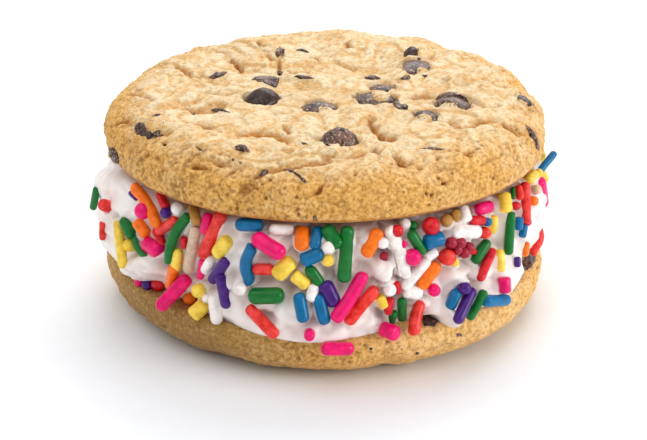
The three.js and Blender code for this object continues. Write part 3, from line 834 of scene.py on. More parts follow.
# %% Chocolate slivers
# thickness mm, outline on the view
SLIVERS = [
    (0.8, [(275, 53.5), (277, 50), (279.7, 48.3), (283, 52), (284.6, 55.2), (279.7, 56.3), (277.3, 57.3)]),
    (0.1, [(276.8, 71.5), (279, 70), (282.3, 72), (281.5, 75), (278.3, 75)]),
    (0.2, [(295.5, 50.3), (300, 48.7), (305, 49.6), (309.3, 53.2), (303, 51.6)]),
    (0.3, [(208.3, 78), (212, 75), (216, 72.5), (227.6, 71.8), (224, 75.5), (219, 77.3), (213.5, 79.5)]),
    (0.2, [(294, 76.7), (298, 74.8), (304, 75.7), (315, 78.5), (309, 79), (301, 79.2)]),
    (0.2, [(210.5, 110), (217, 108.3), (224, 109.3), (230, 112.8), (224, 111.6), (217, 110.8)]),
    (0.5, [(234.3, 147), (239.7, 144.8), (247.3, 148), (250.3, 152.3), (243.5, 152.3), (236.3, 150)]),
    (0.1, [(232, 159), (234.5, 159), (234.5, 161), (232, 161)]),
    (0.1, [(239, 161.5), (241.5, 161.5), (241.7, 163.8), (239, 163.5)]),
    (0.5, [(259, 175.6), (262, 171), (266.5, 169.2), (269.3, 173), (263.5, 176.3)]),
    (0.2, [(284, 169), (290, 169.3), (295, 171.6), (293, 173), (288, 171.3)]),
    (0.2, [(292, 170.6), (299, 174), (303, 178), (300, 178.5), (295, 174.3)]),
    (0.2, [(299, 175.6), (303.8, 178.2), (307.3, 182.7), (305, 183.6), (301, 180)]),
    (0.3, [(364, 78), (370, 76), (375.7, 76), (380.3, 78.8), (373, 80), (367.4, 79.6)]),
    (0.3, [(399.6, 79.6), (404, 76), (409, 75.6), (410.8, 78), (406.5, 80.3)]),
    (0.1, [(421.5, 75.2), (427.5, 74.8), (425.5, 77.8)]),
    (0.1, [(417.4, 57.5), (420.5, 57.5), (420.3, 60.2), (417.6, 60.2)]),
    (0.3, [(392, 102.5), (396.8, 97.5), (399.8, 105), (408.5, 106.8), (407.6, 109.6), (399.8, 109.6),
           (394, 106.8)]),
    (0.1, [(421, 148.6), (433, 146.6), (445, 149.4), (433, 149.8)]),
    (0.3, [(525, 124.3), (529.5, 126.8), (533.5, 131), (536.8, 137), (539, 144), (539.6, 150), (536.8, 149),
           (534.6, 142), (531, 137.3), (528, 132)]),
    (0.6, [(110.2, 147), (114, 147.6), (117.7, 152.6), (119.3, 158.5), (118.7, 163.4), (115.6, 163.4),
           (112, 158), (110, 152)]),
    (0.1, [(313, 215.8), (316, 215.5), (317, 218.5), (315.5, 220.5), (313, 219.5)]),
    (0.1, [(163.6, 143.8), (165.8, 143.6), (166, 146), (163.8, 146.2)]),
    (0.15, [(196, 145.3), (199.3, 147.2), (202.8, 150.8), (199, 150.3)]),
    (0.15, [(152, 116), (156, 114), (161.3, 114.6), (157, 116.3)]),
    (0.1, [(323, 142.7), (327, 143.4), (331, 146), (326, 145.4)]),
    (0.1, [(301, 142.8), (305, 142.6), (308, 144.4), (303, 144.6)]),
    (0.1, [(192.3, 112.6), (194.8, 112.6), (195, 115), (192.5, 115)]),
    (0.1, [(160.6, 134.2), (163, 134), (163.2, 136.3), (160.8, 136.4)]),
    (0.1, [(369.5, 347.6), (372.5, 347.8), (372.3, 350), (369.5, 350)]),
    (0.1, [(415.5, 352), (419, 352), (418.8, 354.4), (415.8, 354.4)]),
    (0.1, [(456, 333.6), (461, 333.4), (462.5, 336), (457, 336.6)]),
    (0.2, [(251, 80), (255, 77), (263, 75.6), (274, 76.3), (279.3, 78.5), (278.5, 84), (276, 88), (271, 86),
           (265, 83.5), (262, 81), (257, 80.6)]),
    (0.3, [(143, 132.5), (148, 135.3), (156.7, 137.8), (161, 135.7), (159.7, 130.6), (157.3, 131.2),
           (155, 134), (150, 134.3), (146, 132.8)]),
    (0.12, [(435, 100), (439.5, 94.5), (448, 91.8), (457, 92.5), (466, 97.5), (469, 103), (460, 104),
            (449, 102.5), (440, 103.5)]),
    (0.4, [(134.5, 129), (135.5, 125), (139, 122.3), (143, 123), (143.5, 127), (144.5, 131), (148, 134),
           (146, 136), (140, 135), (136.5, 133)]),
    (0.4, [(519.5, 271.5), (522, 262), (526.5, 255), (532.5, 250.3), (536.3, 254), (535.6, 261), (531.5, 267),
           (526, 271)]),
    (0.2, [(421, 319), (426, 314), (434, 313.5), (439, 320.5), (434, 326.5), (424, 326)]),
]


def flake(thickness, outline, surface):
    """A thin closed flake on a surface, where the lines of sight through its outline meet it."""
    RINGS = [(1.0, -0.5), (1.0, 0.0), (0.8, 0.6), (0.55, 0.85), (0.3, 0.97)]  # size, height in thicknesses
    ALONG = (0, 0.34, 0.67)  # where the points of the edge are on each side of the outline
    LAID, UNEVEN, INWARD = 0.05, 0.25, 0.2
    edge = []
    for a, b in zip(outline, outline[1:] + outline[:1]):
        edge += [np.array(a) + (np.array(b) - np.array(a)) * t for t in ALONG]
    edge = np.array(edge)
    middle = edge.mean(0)
    points = []
    for size, rise in [(0, 1)] + RINGS[::-1]:
        for u, v in (middle + (edge - middle) * size if size else [middle]):
            place, normal = None, None
            while place is None:
                place, normal, _, _ = surface.ray_cast(camera_place, sight(u, v))
                u, v = u + (middle[0] - u) * INWARD, v + (middle[1] - v) * INWARD
            if normal.dot(sight(u, v)) > 0:
                normal = -normal
            points.append(np.array(place + normal * (LAID + thickness * rise)))
    low = points[-len(edge):]
    points.append(np.mean(low, axis=0))
    points = np.array(points)
    points += UNEVEN * thickness * grain(points, 0.8, middle[0])[:, None]
    return points, stitched([1] + [len(edge)] * len(RINGS) + [1])


BETWEEN_COOKIES = 250  # height on the view
SLIVER_DUST = 0.6
flakes = []
for thickness, outline in SLIVERS:
    on_bottom = min(v for _, v in outline) > BETWEEN_COOKIES
    flakes.append(flake(thickness, outline, bottom_dough if on_bottom else top_dough))
points, faces = joined(flakes)
dusty = np.full(len(points), SLIVER_DUST)
piece("chocolate_slivers", points, faces, chocolate, (), {"dusty": dusty})

# %% [markdown]
# ## The ice cream's body
# The slab was pressed out between the cookies, so its side is a soft wall with wide folds, lobes that hang
# over the bottom cookie's rim and small caves. `ice_radius` is the solid's own side.

# %% Ice cream side
ICE_RADIUS = 34.5
# bearing, height, half width in degrees, half height, bulge
ICE_FOLDS = [
    (-95, 9.5, 18, 5.5, 3.4), (-69, 9, 6.5, 3, -2.2), (-44, 10, 15, 5, 2.6), (-122, 11, 9, 5, -1.2),
    (-178, 19, 16, 4, 1.9), (-172, 12, 18, 4, 1.8), (-4, 19, 15, 6, -0.3), (20, 13, 14, 5, 0.9),
    (52, 21, 13, 4, 1.1), (84, 12, 17, 5, 1.8), (112, 20, 12, 4, 1.2), (140, 12, 14, 5, 1.5),
]
TUCKED_IN = 1.4
UNDER_RIM = 1.0  # how much further the skin goes in under the top cookie
SLOT = 1.8  # and how deep the dark slot right under it is


def ice_radius(bearing, z):
    """Distance from the axis to the ice cream's side at a bearing in degrees and a height."""
    middle, half = (ICE_FLOOR + ICE_ROOF) / 2, (ICE_ROOF - ICE_FLOOR) / 2
    radius = ICE_RADIUS - TUCKED_IN * np.abs((z - middle) / half) ** 3
    for at, height, half_width, half_height, bulge in ICE_FOLDS:
        radius = radius + bulge * at_side(bearing, (at, half_width)) * bell(z - height, half_height)
    radius = radius - UNDER_RIM * smooth(z, ICE_ROOF - 2.6, ICE_ROOF - 0.2)
    return radius - SLOT * smooth(z, ICE_ROOF - 1.5, ICE_ROOF - 0.7)


def side_grid(low, high, spacing):
    """Bearings and heights of an even grid on the side, ring by ring from the top."""
    count = round(2 * math.pi * ICE_RADIUS / spacing)
    levels = np.linspace(high, low, round((high - low) / spacing) + 1)
    bearing, z = np.meshgrid(360 * np.arange(count) / count, levels)
    return bearing.ravel(), z.ravel(), count, len(levels)


def side_points(bearing, z, radius):
    """Points at a bearing in degrees, a height and a distance from the axis."""
    angle = np.radians(bearing)
    return np.stack([radius * np.cos(angle), radius * np.sin(angle), z], 1)


def soft_lumps(points):
    """How far the soft lumps of the skin stand out at each point of the side."""
    FLAT_WAVES = (0.4, 0.4, 1.7)  # makes the waves long sideways and short upward
    swirl = scattered(points, 3.5, (15, 37, 63))
    soft = 0.75 * pebbles(points + swirl, 6.5, 60) + 0.36 * pebbles(points + 0.6 * swirl, 2.8, 70)
    pulled = 0.3 * grain(points * FLAT_WAVES + 0.5 * swirl, 2.4, 80)
    return soft + pulled + 0.07 * grain(points, 0.9, 81)


# %% [markdown]
# On top of those come the lobes and caves that give this slab its look. Each is an oval on the view, and
# the side bulges out or sinks in there, fading out at the oval's edge.

# %% Lobes and caves
# the oval's middle, half width, half height and turn in degrees, then its bulge in mm
LOBES = [
    (115, 184, 18, 14, 0, 1.3), (116, 208, 16, 14, 0, 1.2), (109, 228, 8, 22, 0, 0.6),
    (147, 265, 24, 14, -5, 2.2), (150, 288, 26, 8, 0, -1.8), (183, 303, 12, 9, 0, -2.9),
    (240, 286, 9, 13, 0, 0.7), (360, 235, 13, 15, 0, 0.7), (382, 270, 14, 17, 0, 1.8),
    (358, 268, 6, 8, 0, -1.2), (462, 272, 26, 12, 0, 1.1), (440, 312, 19, 12, 0, 0.8),
    (430, 321, 8, 8, 0, -3.4), (445, 318, 9, 14, 0, 2.0), (382, 254, 10, 6, 0, -1.8),
    (182, 204, 30, 10, 8, -2.6), (231, 226, 9, 17, 0, -0.9), (182, 240, 60, 60, 0, -1.3),
    (315, 347, 50, 9, 0, 0.5), (417, 222, 18, 9, -6, -1.4), (497, 232, 10, 22, 0, -0.8),
    (535, 205, 8, 30, 0, 0.7), (275, 247, 30, 10, 0, 0.8), (300, 232, 30, 6, 0, -1.2),
    (345, 300, 10, 30, 30, 0.6), (265, 318, 14, 8, 30, -0.9), (480, 312, 26, 7, 0, -0.9),
    (532, 262, 9, 16, 0, -1.3),
]
DEEPER = 1.25  # all bulges are taken this many times
PROUD = 0.6  # height of a rod's axis above the ice cream


def lobed(points, radius):
    """Moves points on the ice cream's side in or out by the lobes; gives the new radius."""
    u, v = on_view(points)
    front = smooth(points[:, 1], 10, 1)
    for at_u, at_v, half_width, half_height, turn, bulge in LOBES:
        c, s = math.cos(math.radians(turn)), math.sin(math.radians(turn))
        du, dv = u - at_u, v - at_v
        far = np.hypot((du * c + dv * s) / half_width, (dv * c - du * s) / half_height)
        radius = radius + DEEPER * front * bulge * smooth(far, 1.25, 0.3)
    return radius


PAST_SLAB, SIDE_SPACING = 4, 0.7
bearing, z, count, levels = side_grid(ICE_FLOOR - PAST_SLAB, ICE_ROOF + PAST_SLAB, SIDE_SPACING)
radius = ice_radius(bearing, np.clip(z, ICE_FLOOR, ICE_ROOF))
radius = lobed(side_points(bearing, z, radius), radius) + PROUD
guide = side_points(bearing, z, radius)
raised_side = BVHTree.FromPolygons(guide.tolist(), stitched([count] * levels))
inmost, outmost = radius.min() - PROUD, radius.max() - PROUD
print(f"{len(LOBES)} lobes and caves, and the side is {inmost:.1f} to {outmost:.1f} mm from the axis")

# %% [markdown]
# ## Where the sprinkles lie
# Sprinkles are extruded sugar paste, broken into rods. The ones on the front are laid where they are
# seen: each row is the two ends of a rod on the view, its thickness there and how far its middle bows
# to the left of its run. A row with only a place and a thickness is a rod that points outward, so that
# it shows its round end. Lines of sight carry them to the ice cream's side.

# %% Sprinkles on the front
SEEN = {
    "pink": [
        (256, 238, 281, 254, 17, 0), (203, 260, 200, 278, 8, 0), (187, 278.5, 160, 307, 15, 0),
        (363, 275, 335.5, 319, 14, 1), (324, 349, 351, 348.5, 14, 0), (138.5, 282.5, 9), (403.5, 244.5, 8),
        (142.5, 211, 17), (386, 330, 393.5, 333, 16, 0), (309.5, 336, 11), (434.5, 290.5, 13),
        (477, 210, 491, 206, 13, 0), (504.5, 280, 505, 290, 13, 0), (413, 257.5, 17), (528, 222, 8),
        (147, 244, 160, 251, 18, 0), (208, 215, 205, 232, 11, 0),
    ],
    "coral": [
        (221.5, 214, 203, 256, 14, 0), (255, 269, 271, 269.5, 12, 0), (249.5, 308, 275, 335, 13, 0),
        (375.5, 290, 348.5, 322, 13, -1), (104, 205, 13), (448, 257.5, 17), (420, 303, 414, 333, 13, -1),
        (485.5, 233, 12), (102.5, 222, 102.5, 239, 7, 0), (177, 219.5, 158, 231.5, 11, 0),
        (518, 187, 520, 198, 9, 0), (525, 184, 526, 222, 11, 0),
    ],
    "red": [
        (159.5, 193.5, 166.5, 209, 10, 0), (184, 238, 184, 247, 8, 0), (158, 284, 15),
        (398, 292, 396, 283, 8, 0), (390, 299, 388, 313, 9, 0), (471.5, 220.5, 484, 220.5, 10, 0),
        (492.5, 250, 480, 279, 10, 0), (516.5, 206, 9), (431, 225.5, 18), (397, 231, 13),
        (155, 230, 163, 243, 9, 0), (468, 250, 475, 252, 7, 0),
    ],
    "crimson": [
        (384, 256, 9), (451.5, 243, 12), (457, 249.5, 12), (464, 253, 12), (469, 247.5, 11), (460, 243, 13),
    ],
    "orange": [
        (133.5, 186.5, 157, 226, 12, 3), (138, 222, 146, 234, 14, 0), (303, 230, 301.5, 247, 15, 0),
        (378, 232, 366, 254, 14, 0), (189.5, 298.5, 13), (174, 266, 170, 288, 12, 0),
        (436.5, 265, 421, 286, 14, 0), (534, 201, 10), (526.5, 243, 525, 255, 8, 0), (186, 262, 7),
    ],
    "yellow": [
        (228, 240, 217.5, 254, 16, 0), (290, 261.5, 278, 274.5, 17, 0), (295.5, 276, 306, 284, 14, 0),
        (198.5, 291, 15), (194, 314, 205, 304.5, 16, 0), (328, 261, 12), (118, 222, 123, 266, 11, 0),
        (129, 245.5, 13), (178, 250, 175, 270, 12, 0), (504, 195, 506, 210, 14, 0),
        (494, 217, 491.5, 232, 10, 0), (499.5, 251, 501, 270, 10, 0), (380, 297, 384, 306, 10, 0),
        (455, 262, 9), (539, 173, 9), (527, 181, 535, 173, 12, 0),
    ],
    "green": [
        (188, 216, 169, 262, 11, -5), (123.5, 220, 132, 236, 12, 0), (134, 238, 153, 260.5, 7, -4),
        (252, 296, 280.5, 295.5, 17, 0), (327, 229, 338, 245, 15, 0), (347.5, 229, 344, 279.5, 14, 0),
        (309, 268, 320, 283, 12, 0), (394, 312, 390, 324, 9, 0), (402, 300, 402, 319.5, 10, 0),
        (411, 233, 422.5, 252, 11, 0), (413, 225.5, 10), (487.5, 242, 474.5, 261, 11, 0),
        (511, 213.5, 508.5, 253, 10, 0), (484, 292, 469.5, 318, 10, 0), (97, 188, 93, 208.5, 8.5, 0),
        (513, 188, 513, 198, 5, 0),
    ],
    "blue": [
        (238, 224.5, 260.5, 225.5, 13, 0), (252, 246.5, 250, 283, 12, -4.5), (318, 229, 315, 247, 12, 0),
        (304, 260, 320, 253, 16, 0), (299, 295.5, 303.5, 320, 13, 0), (318.5, 296.5, 325, 322, 13, 0),
        (427.5, 242, 440, 238.5, 16, 0), (457, 291, 450, 307, 12, 0), (484, 301, 508, 300, 13, 0),
        (519, 219, 518, 228, 10, 0), (524, 226, 522, 236, 9, 0), (537.5, 174, 554.5, 153, 8, 0),
        (488, 222, 9),
    ],
    "purple": [
        (227, 260, 212, 281, 12, 0), (220.5, 275.5, 226.5, 306, 12, 0), (325, 284.5, 334.5, 303, 16, 0),
        (130, 192.5, 137, 199, 6, 0), (165, 213, 11), (147, 284.5, 11), (472, 290, 457.5, 321, 12, 0),
        (464.5, 288, 14), (517.5, 258, 517.5, 266, 7, 0),
    ],
    "cream": [(196, 228, 188, 271, 12, 0), (537, 189.5, 10)],
    "tan": [(447, 220.5, 12), (456, 214.5, 11), (192.5, 206, 197, 223, 11, 0)],
    "white": [
        (212, 258.5, 204.5, 271.5, 11, 0), (214, 297, 217, 321.5, 13, 0), (240, 289, 13),
        (206, 298.5, 9), (272, 229.5, 292, 229, 11, 0), (328.5, 247.5, 13), (314, 286, 311, 299, 12, 0),
        (388.5, 229, 405, 276, 13, 3), (390, 290, 13), (434, 252, 427.5, 257, 11, 0),
        (427, 260, 404, 287, 12, 0), (406, 291, 419, 293, 14, 0), (463, 209, 466.5, 219, 12, 0),
        (453, 232.5, 478.5, 231.5, 15, 0), (177.5, 208.5, 14), (405, 224, 12), (383, 243, 12),
    ],
}
STEEPEST = 1.3  # the most a rod's end may reach away from the viewer, in shares of its half length
COOKIE_REACH = COOKIE_RADIUS + 1.2  # past this a rod is clear of both cookies


def on_side(u, v):
    """Where a line of sight comes within `PROUD` of the ice cream's side, and the way out there."""
    way = sight(u, v)
    place, normal, _, _ = raised_side.ray_cast(camera_place, way)
    if place is None:
        flat = Vector((way.x, way.y))
        place = camera_place + way * (-(camera_place.xy @ flat) / flat.length_squared)
        normal = Vector((place.x, place.y, 0)).normalized()
    if normal.dot(way) > 0:
        normal = -normal
    return place, normal


def above_cookie(place, way, radius):
    """A rod's end that would be in the bottom cookie slides to the viewer on its line of sight."""
    low = ICE_FLOOR + 0.8 * radius
    if place.z < low and place.xy.length < COOKIE_REACH:
        place = place + way * ((low - place.z) / way.z)
    return place


def below_cookie(ends, radius):
    """Shortens a rod that would reach into the top cookie."""
    high = ICE_ROOF - 0.6 * radius
    for i in (0, 1):
        end, other = ends[i], ends[1 - i]
        if end.z > high and end.xy.length < COOKIE_REACH:
            share = (end.z - high) / (end.z - other.z) if end.z - other.z > 0.3 else 0
            ends[i] = end + (other - end) * min(share, 0.8)
            ends[i].z = min(ends[i].z, high)
    return ends


def seen_rod(row):
    """Three points of a rod's axis, its radius and the way out, from its row."""
    TIP_OUT, HIDDEN_LENGTH = 0.7, 3.2  # of a rod seen end on: how far it stands out in radii, and mm inside
    INSET, UNBURIED = 0.45, 0.6
    if len(row) < 6:
        u, v, thick = row[0], row[1], row[-1]
        place, normal = on_side(u, v)
        radius = thick * mm_per_point(place) / 2
        way = sight(u, v)
        toward = (normal * 2 - way).normalized()
        tip = above_cookie(place - way * TIP_OUT * radius, way, radius)
        if tip.xy.length < COOKIE_RADIUS:
            tip.z = min(tip.z, ICE_ROOF - radius)
        spots = [tip - toward * HIDDEN_LENGTH, tip - toward * (HIDDEN_LENGTH / 2), tip]
        return spots, radius, Vector((0, 0, 1))
    u1, v1, u2, v2, thick, bow = row
    length = math.hypot(u2 - u1, v2 - v1)
    middle = ((u1 + u2) / 2 + bow * (v2 - v1) / length, (v1 + v2) / 2 - bow * (u2 - u1) / length)
    radius = thick * mm_per_point((0, -COOKIE_RADIUS, ICE_FLOOR)) / 2
    inset = min(INSET, INSET * thick / length)
    centre, normal = on_side(*middle)
    most = STEEPEST * length * mm_per_point(centre) / 2
    ends = []
    for u, v in ((u1, v1), (u2, v2)):
        u, v = u + (middle[0] - u) * inset, v + (middle[1] - v) * inset
        spot, _ = on_side(u, v)
        way = sight(u, v)
        deeper = (spot - centre).dot(way)
        spot -= way * (deeper - min(max(deeper, -most), most))
        ends.append(above_cookie(spot, way, radius))
    ends = below_cookie(ends, radius)
    way = sight(*middle)
    half_way = (ends[0] + ends[1]) / 2
    buried = max((half_way - centre).dot(way), 0) * UNBURIED
    across = way.cross(ends[1] - ends[0]).normalized() * bow * mm_per_point(centre)
    lifted = [end - way * buried for end in ends]
    return [lifted[0], half_way - way * buried - across, lifted[1]], radius, normal


rods = [(colour, *seen_rod(row)) for colour, rows in SEEN.items() for row in rows]
print(f"{len(rods)} sprinkles on the front")

# %% [markdown]
# The back and the bare stretches of the sides carry the solid's own sprinkles, which a rule spreads in
# staggered rows with seeded draws, and smaller ones between them, because the solid holds only the
# largest. Each follows the lumpy side with its two ends and its middle.

# %% Sprinkles on the back
ROWS, IN_ROW, SHIFT = 4, 32, 0.7
RADIUS_RANGE, LENGTH_RANGE = (0.85, 1.15), (3.4, 7.6)
CLEAR = 0.3
SMALL_ONES = 160
SMALL_RADIUS_RANGE, SMALL_LENGTH_RANGE = (0.7, 1.05), (2.2, 5)
BEHIND = 90  # bearing of the middle of the back; the rest are degrees from there
ALL_BACK = 79
BARE_RIGHT, BARE_LEFT = -102, 80
FLANK_STARTS, FLANK_FULL, FLANK_ENDS = 66, 76, 104
FLANK_LOWER = 0.45
APART_FROM_FRONT, APART = 3.2, 3.0  # mm between the middles of two rods
MIX = ["pink", "white", "green", "blue", "orange", "yellow", "coral", "purple", "red"]


def between(limits, share):
    """The value at a share of the way from the first limit to the second."""
    return limits[0] + (limits[1] - limits[0]) * share


def at_flank(bearing):
    """From 0 to 1, whether a bearing is near one of the two sides, seen from the front."""
    turn = abs(degrees_between(bearing, BEHIND))
    return float(smooth(turn, FLANK_STARTS, FLANK_FULL) * (turn < FLANK_ENDS))


def height_there(bearing):
    """How proud a rod lies: less near the sides, so that none stands out past the front ones."""
    return PROUD - FLANK_LOWER * at_flank(bearing)


def lying_rod(bearing, z, tilt, length, radius):
    """Three points of the axis of a rod that lies on the side, its radius and the way out."""
    steps = (length / 2 - 0.5 * radius) * np.array([-1, 0, 1])
    bearings = bearing + np.degrees(steps * math.cos(tilt) / ICE_RADIUS)
    heights = z + steps * math.sin(tilt)
    side = ice_radius(bearings, heights)
    side = side + soft_lumps(side_points(bearings, heights, side)) + height_there(bearing)
    spots = [Vector(spot) for spot in side_points(bearings, heights, side).tolist()]
    return spots, radius, Vector((*polar(bearing, 1), 0))


def belongs_behind(bearing, middle):
    """Whether a rod's place is on the back, or on a side where no rod of the front lies."""
    turn = degrees_between(bearing, BEHIND)
    if abs(turn) < ALL_BACK:
        return True
    nearest = min((middle - front[1][1]).length for front in rods)
    return BARE_RIGHT < turn < BARE_LEFT and nearest > APART_FROM_FRONT


draw = seeded(41)
back = []
for i in range(ROWS * IN_ROW):
    row = i % ROWS
    length = between(LENGTH_RANGE, next(draw))
    radius = between(RADIUS_RANGE, next(draw))
    tilt = math.pi * next(draw)
    place = i // ROWS + (row % 2) / 2 + SHIFT * (next(draw) - 0.5)
    bearing = degrees_between(360 * place / IN_ROW, 0)
    level = (row + 0.5 + SHIFT * (next(draw) - 0.5)) / ROWS
    half = length / 2 * math.sin(tilt) + radius + CLEAR
    low, high = ICE_FLOOR + half, ICE_ROOF - half
    z = min(max(ICE_FLOOR + level * (ICE_ROOF - ICE_FLOOR), low), high)
    rod = lying_rod(bearing, z, tilt, length, radius)
    if belongs_behind(bearing, rod[0][1]):
        back.append((MIX[i * 5 % len(MIX)], *rod))

more = seeded(97)
for i in range(SMALL_ONES):
    bearing = 360 * next(more) - 180
    length = between(SMALL_LENGTH_RANGE, next(more))
    radius = between(SMALL_RADIUS_RANGE, next(more))
    tilt = math.pi * next(more)
    half = length / 2 * math.sin(tilt) + radius
    z = between((ICE_FLOOR + half, ICE_ROOF - half), next(more))
    rod = lying_rod(bearing, z, tilt, length, radius)
    crowded = min((rod[0][1] - other[1][1]).length for other in back) < APART
    if belongs_behind(bearing, rod[0][1]) and not crowded:
        back.append((MIX[i * 7 % len(MIX)], *rod))
rods += back
print(f"{len(back)} sprinkles on the back, {len(rods)} in all")

# %% [markdown]
# ## Vanilla ice cream
# Milk fat, ice and air: it scatters light below its skin, so it looks soft and lit from inside, with a
# thin wet gloss where it starts to melt. The dye of the sprinkles bleeds into it a little, so each point
# carries a stain, worked out from the rods beside it.

# %% Material: vanilla ice cream
vanilla, tree, place = material("vanilla_ice_cream")
stain = add(tree, "Attribute", attribute_name="stain")
swirl = add(tree, "TexNoise", {"Vector": place, "Scale": 1 / (5 * MM), "Detail": 4.0, "Roughness": 0.55})
ice = add(tree, "TexNoise", {"Vector": place, "Scale": 1 / (0.6 * MM), "Detail": 2.0})
cream = blend(tree, ramp(tree, swirl.outputs["Fac"], 0.35, 0.7), "#FBF4EF", "#F4E7E1")
# painted shade: pinkish grey in the hollows, between crowded rods and under the top cookie
painted_hollow_shade = add(tree, "Attribute", attribute_name="painted_hollow_shade").outputs["Fac"]
shaded = blend(tree, painted_hollow_shade, cream, "#B2928B")
dyed = blend(tree, stain.outputs["Alpha"], shaded, stain.outputs["Color"])
bump = add(tree, "Bump", {"Height": ice.outputs["Fac"], "Strength": 0.25, "Distance": 0.15 * MM})
milk = add(tree, "BsdfPrincipled", {
    "Base Color": dyed, "Roughness": 0.38, "IOR": 1.36, "Specular IOR Level": 0.45,
    "Subsurface Weight": 0.2, "Subsurface Radius": (1.0, 0.75, 0.65), "Subsurface Scale": 1.0 * MM,
    "Coat Weight": 0.15, "Coat Roughness": 0.2, "Normal": bump.outputs[0],
})
add(tree, "OutputMaterial", {"Surface": milk.outputs[0]})

# %% [markdown]
# ## Sugar paste
# Sprinkles are pressed sugar and starch with food dye, polished with wax: a bright, even colour with a
# soft highlight. On ice cream they take up water, so the colour turns patchy and a little darker where
# they are wet. One finish serves all, with the dye as its only difference.

# %% Material: dyed sugar paste
DYES = {
    "pink": "#EE0A6C", "coral": "#EC443E", "red": "#D4222C", "orange": "#FF7A1C", "yellow": "#FFD95A",
    "green": "#10702C", "blue": "#006C9E", "purple": "#4A2078", "white": "#F9F0EB",
    "cream": "#DDBFA6", "crimson": "#A01E34", "tan": "#B98744",
}


def sugar_paste(name, dye):
    """Dyed, waxed sugar paste, with a patchy dye and a fine sandy skin."""
    PATCH, SAND = 1.3 * MM, 0.25 * MM
    made, tree, place = material(name)
    patchy = add(tree, "TexNoise", {"Vector": place, "Scale": 1 / PATCH, "Detail": 3.0, "Roughness": 0.6})
    sand = add(tree, "TexNoise", {"Vector": place, "Scale": 1 / SAND, "Detail": 2.0})
    light = add(tree, "HueSaturation", {"Color": dye, "Saturation": 1.0, "Value": 1.1})
    dark = add(tree, "HueSaturation", {"Color": dye, "Saturation": 1.05, "Value": 0.84})
    uneven = blend(tree, ramp(tree, patchy.outputs["Fac"], 0.36, 0.66), dark.outputs[0], light.outputs[0])
    bump = add(tree, "Bump", {"Height": sand.outputs["Fac"], "Strength": 0.18, "Distance": 0.1 * MM})
    paste = add(tree, "BsdfPrincipled", {
        "Base Color": uneven, "Roughness": 0.3, "IOR": 1.5, "Specular IOR Level": 0.24,
        "Subsurface Weight": 0.06, "Subsurface Radius": (1.0, 0.6, 0.5), "Subsurface Scale": 0.4 * MM,
        "Coat Weight": 0.12, "Coat Roughness": 0.12, "Normal": bump.outputs[0],
    })
    add(tree, "OutputMaterial", {"Surface": paste.outputs[0]})
    return made


# %% [markdown]
# Each rod follows its three axis points with a smooth bend. Its ends are rounded, its thickness wavers
# by a twentieth, and the rods of one colour are one piece.

# %% Sprinkle meshes
ROD_SIDES, END_STEPS, BODY_STEPS = 16, 5, 8


def rod_shape(spots, radius, out, shift):
    """Points and faces of a rounded rod through three points."""
    ROUNDED, PAST_END, BLUNT = 0.95, 0.9, 0.78
    a, b, c = (np.array(s) for s in spots)
    length = np.linalg.norm(c - a)
    end = min(ROUNDED * radius, 0.45 * length + 0.01)
    reach = PAST_END * radius
    turn = np.linspace(0, math.pi / 2, END_STEPS + 1)[1:]
    start = [(-reach + end * (1 - math.cos(t)), math.sin(t) ** BLUNT) for t in turn]
    body = []
    if length > 2.5 * end:
        body = [(s, 1) for s in np.linspace(end, length - end, BODY_STEPS)[1:-1]]
    stop = [(length - s, w) for s, w in reversed(start)]
    steps = [(-reach, 0)] + start + body + stop + [(length + reach, 0)]
    counts = [1 if w == 0 else ROD_SIDES for _, w in steps]
    rows = []
    for (s, width), count in zip(steps, counts):
        t = min(max(s / length, 0), 1)
        spot = a + (c - a) * s / length + (b - (a + c) / 2) * 4 * t * (1 - t)
        tangent = c - a + (b - (a + c) / 2) * 4 * (1 - 2 * t)
        tangent /= np.linalg.norm(tangent)
        up = np.array(out) - tangent * (np.array(out) @ tangent)
        up /= np.linalg.norm(up)
        side = np.cross(up, tangent)
        angle = 2 * math.pi * np.arange(count) / count
        ring = np.outer(np.cos(angle), up) + np.outer(np.sin(angle), side)
        rows.append(spot + ring * radius * width)
    points = np.concatenate(rows)
    axis = np.repeat([a + (c - a) * s / length for s, _ in steps], counts, axis=0)
    uneven = 0.05 * grain(points, 2.4, shift) + 0.01 * grain(points, 0.8, shift)
    return points + (points - axis) * uneven[:, None], stitched(counts)


for colour, dye in DYES.items():
    shapes = [rod_shape(spots, radius, out, 7 * i)
              for i, (its, spots, radius, out) in enumerate(rods) if its == colour]
    points, faces = joined(shapes)
    piece(f"sprinkles_{colour}", points, faces, sugar_paste(f"sugar_paste_{colour}", dye))

# %% [markdown]
# ## The ice cream's skin
# The skin takes the smooth side and adds soft lumps, then climbs a little up every rod that lies in it,
# as it does when the coated sandwich freezes again, and sinks where rods crowd together. Each point
# carries its stain and its painted shade, which makes the colour darker in the low places of the lumps,
# between crowded rods and under the top cookie's rim.

# %% Ice cream mesh
ICE_SPACING = 0.3
CROWDED_SINK = 1.7  # how far the skin sinks between sprinkles that lie close together
CLIMB, FLANK_CLIMB_LESS, CLIMB_WIDTH = 0.4, 0.28, 0.45
DYE_SHARE, DYE_WIDTH = 0.22, 0.3
NOT_DYED = [0.9, 0.85, 0.82, 0.0]
NEAR, FAR = 4, 9.0
OPEN_SIDE = (-172, 24)  # bearing and half width of the stretch with few sprinkles
CAP_SHARES = (0.02, 0.5, 0.94)  # rings of the flat ends, in shares of the side's distance
bearing, z, count, levels = side_grid(ICE_FLOOR, ICE_ROOF, ICE_SPACING)
radius = ice_radius(bearing, z)
radius = lobed(side_points(bearing, z, radius), radius)
points = side_points(bearing, z, radius)
ends = np.minimum(smooth(z, ICE_FLOOR, ICE_FLOOR + 0.6), smooth(z, ICE_ROOF, ICE_ROOF - 0.6))
soft = soft_lumps(points)
lift = soft * (0.35 + 0.65 * ends)
stain = np.tile(NOT_DYED, (len(points), 1))
climb, crowd, bare = np.zeros(len(points)), np.zeros(len(points)), np.full(len(points), FAR)
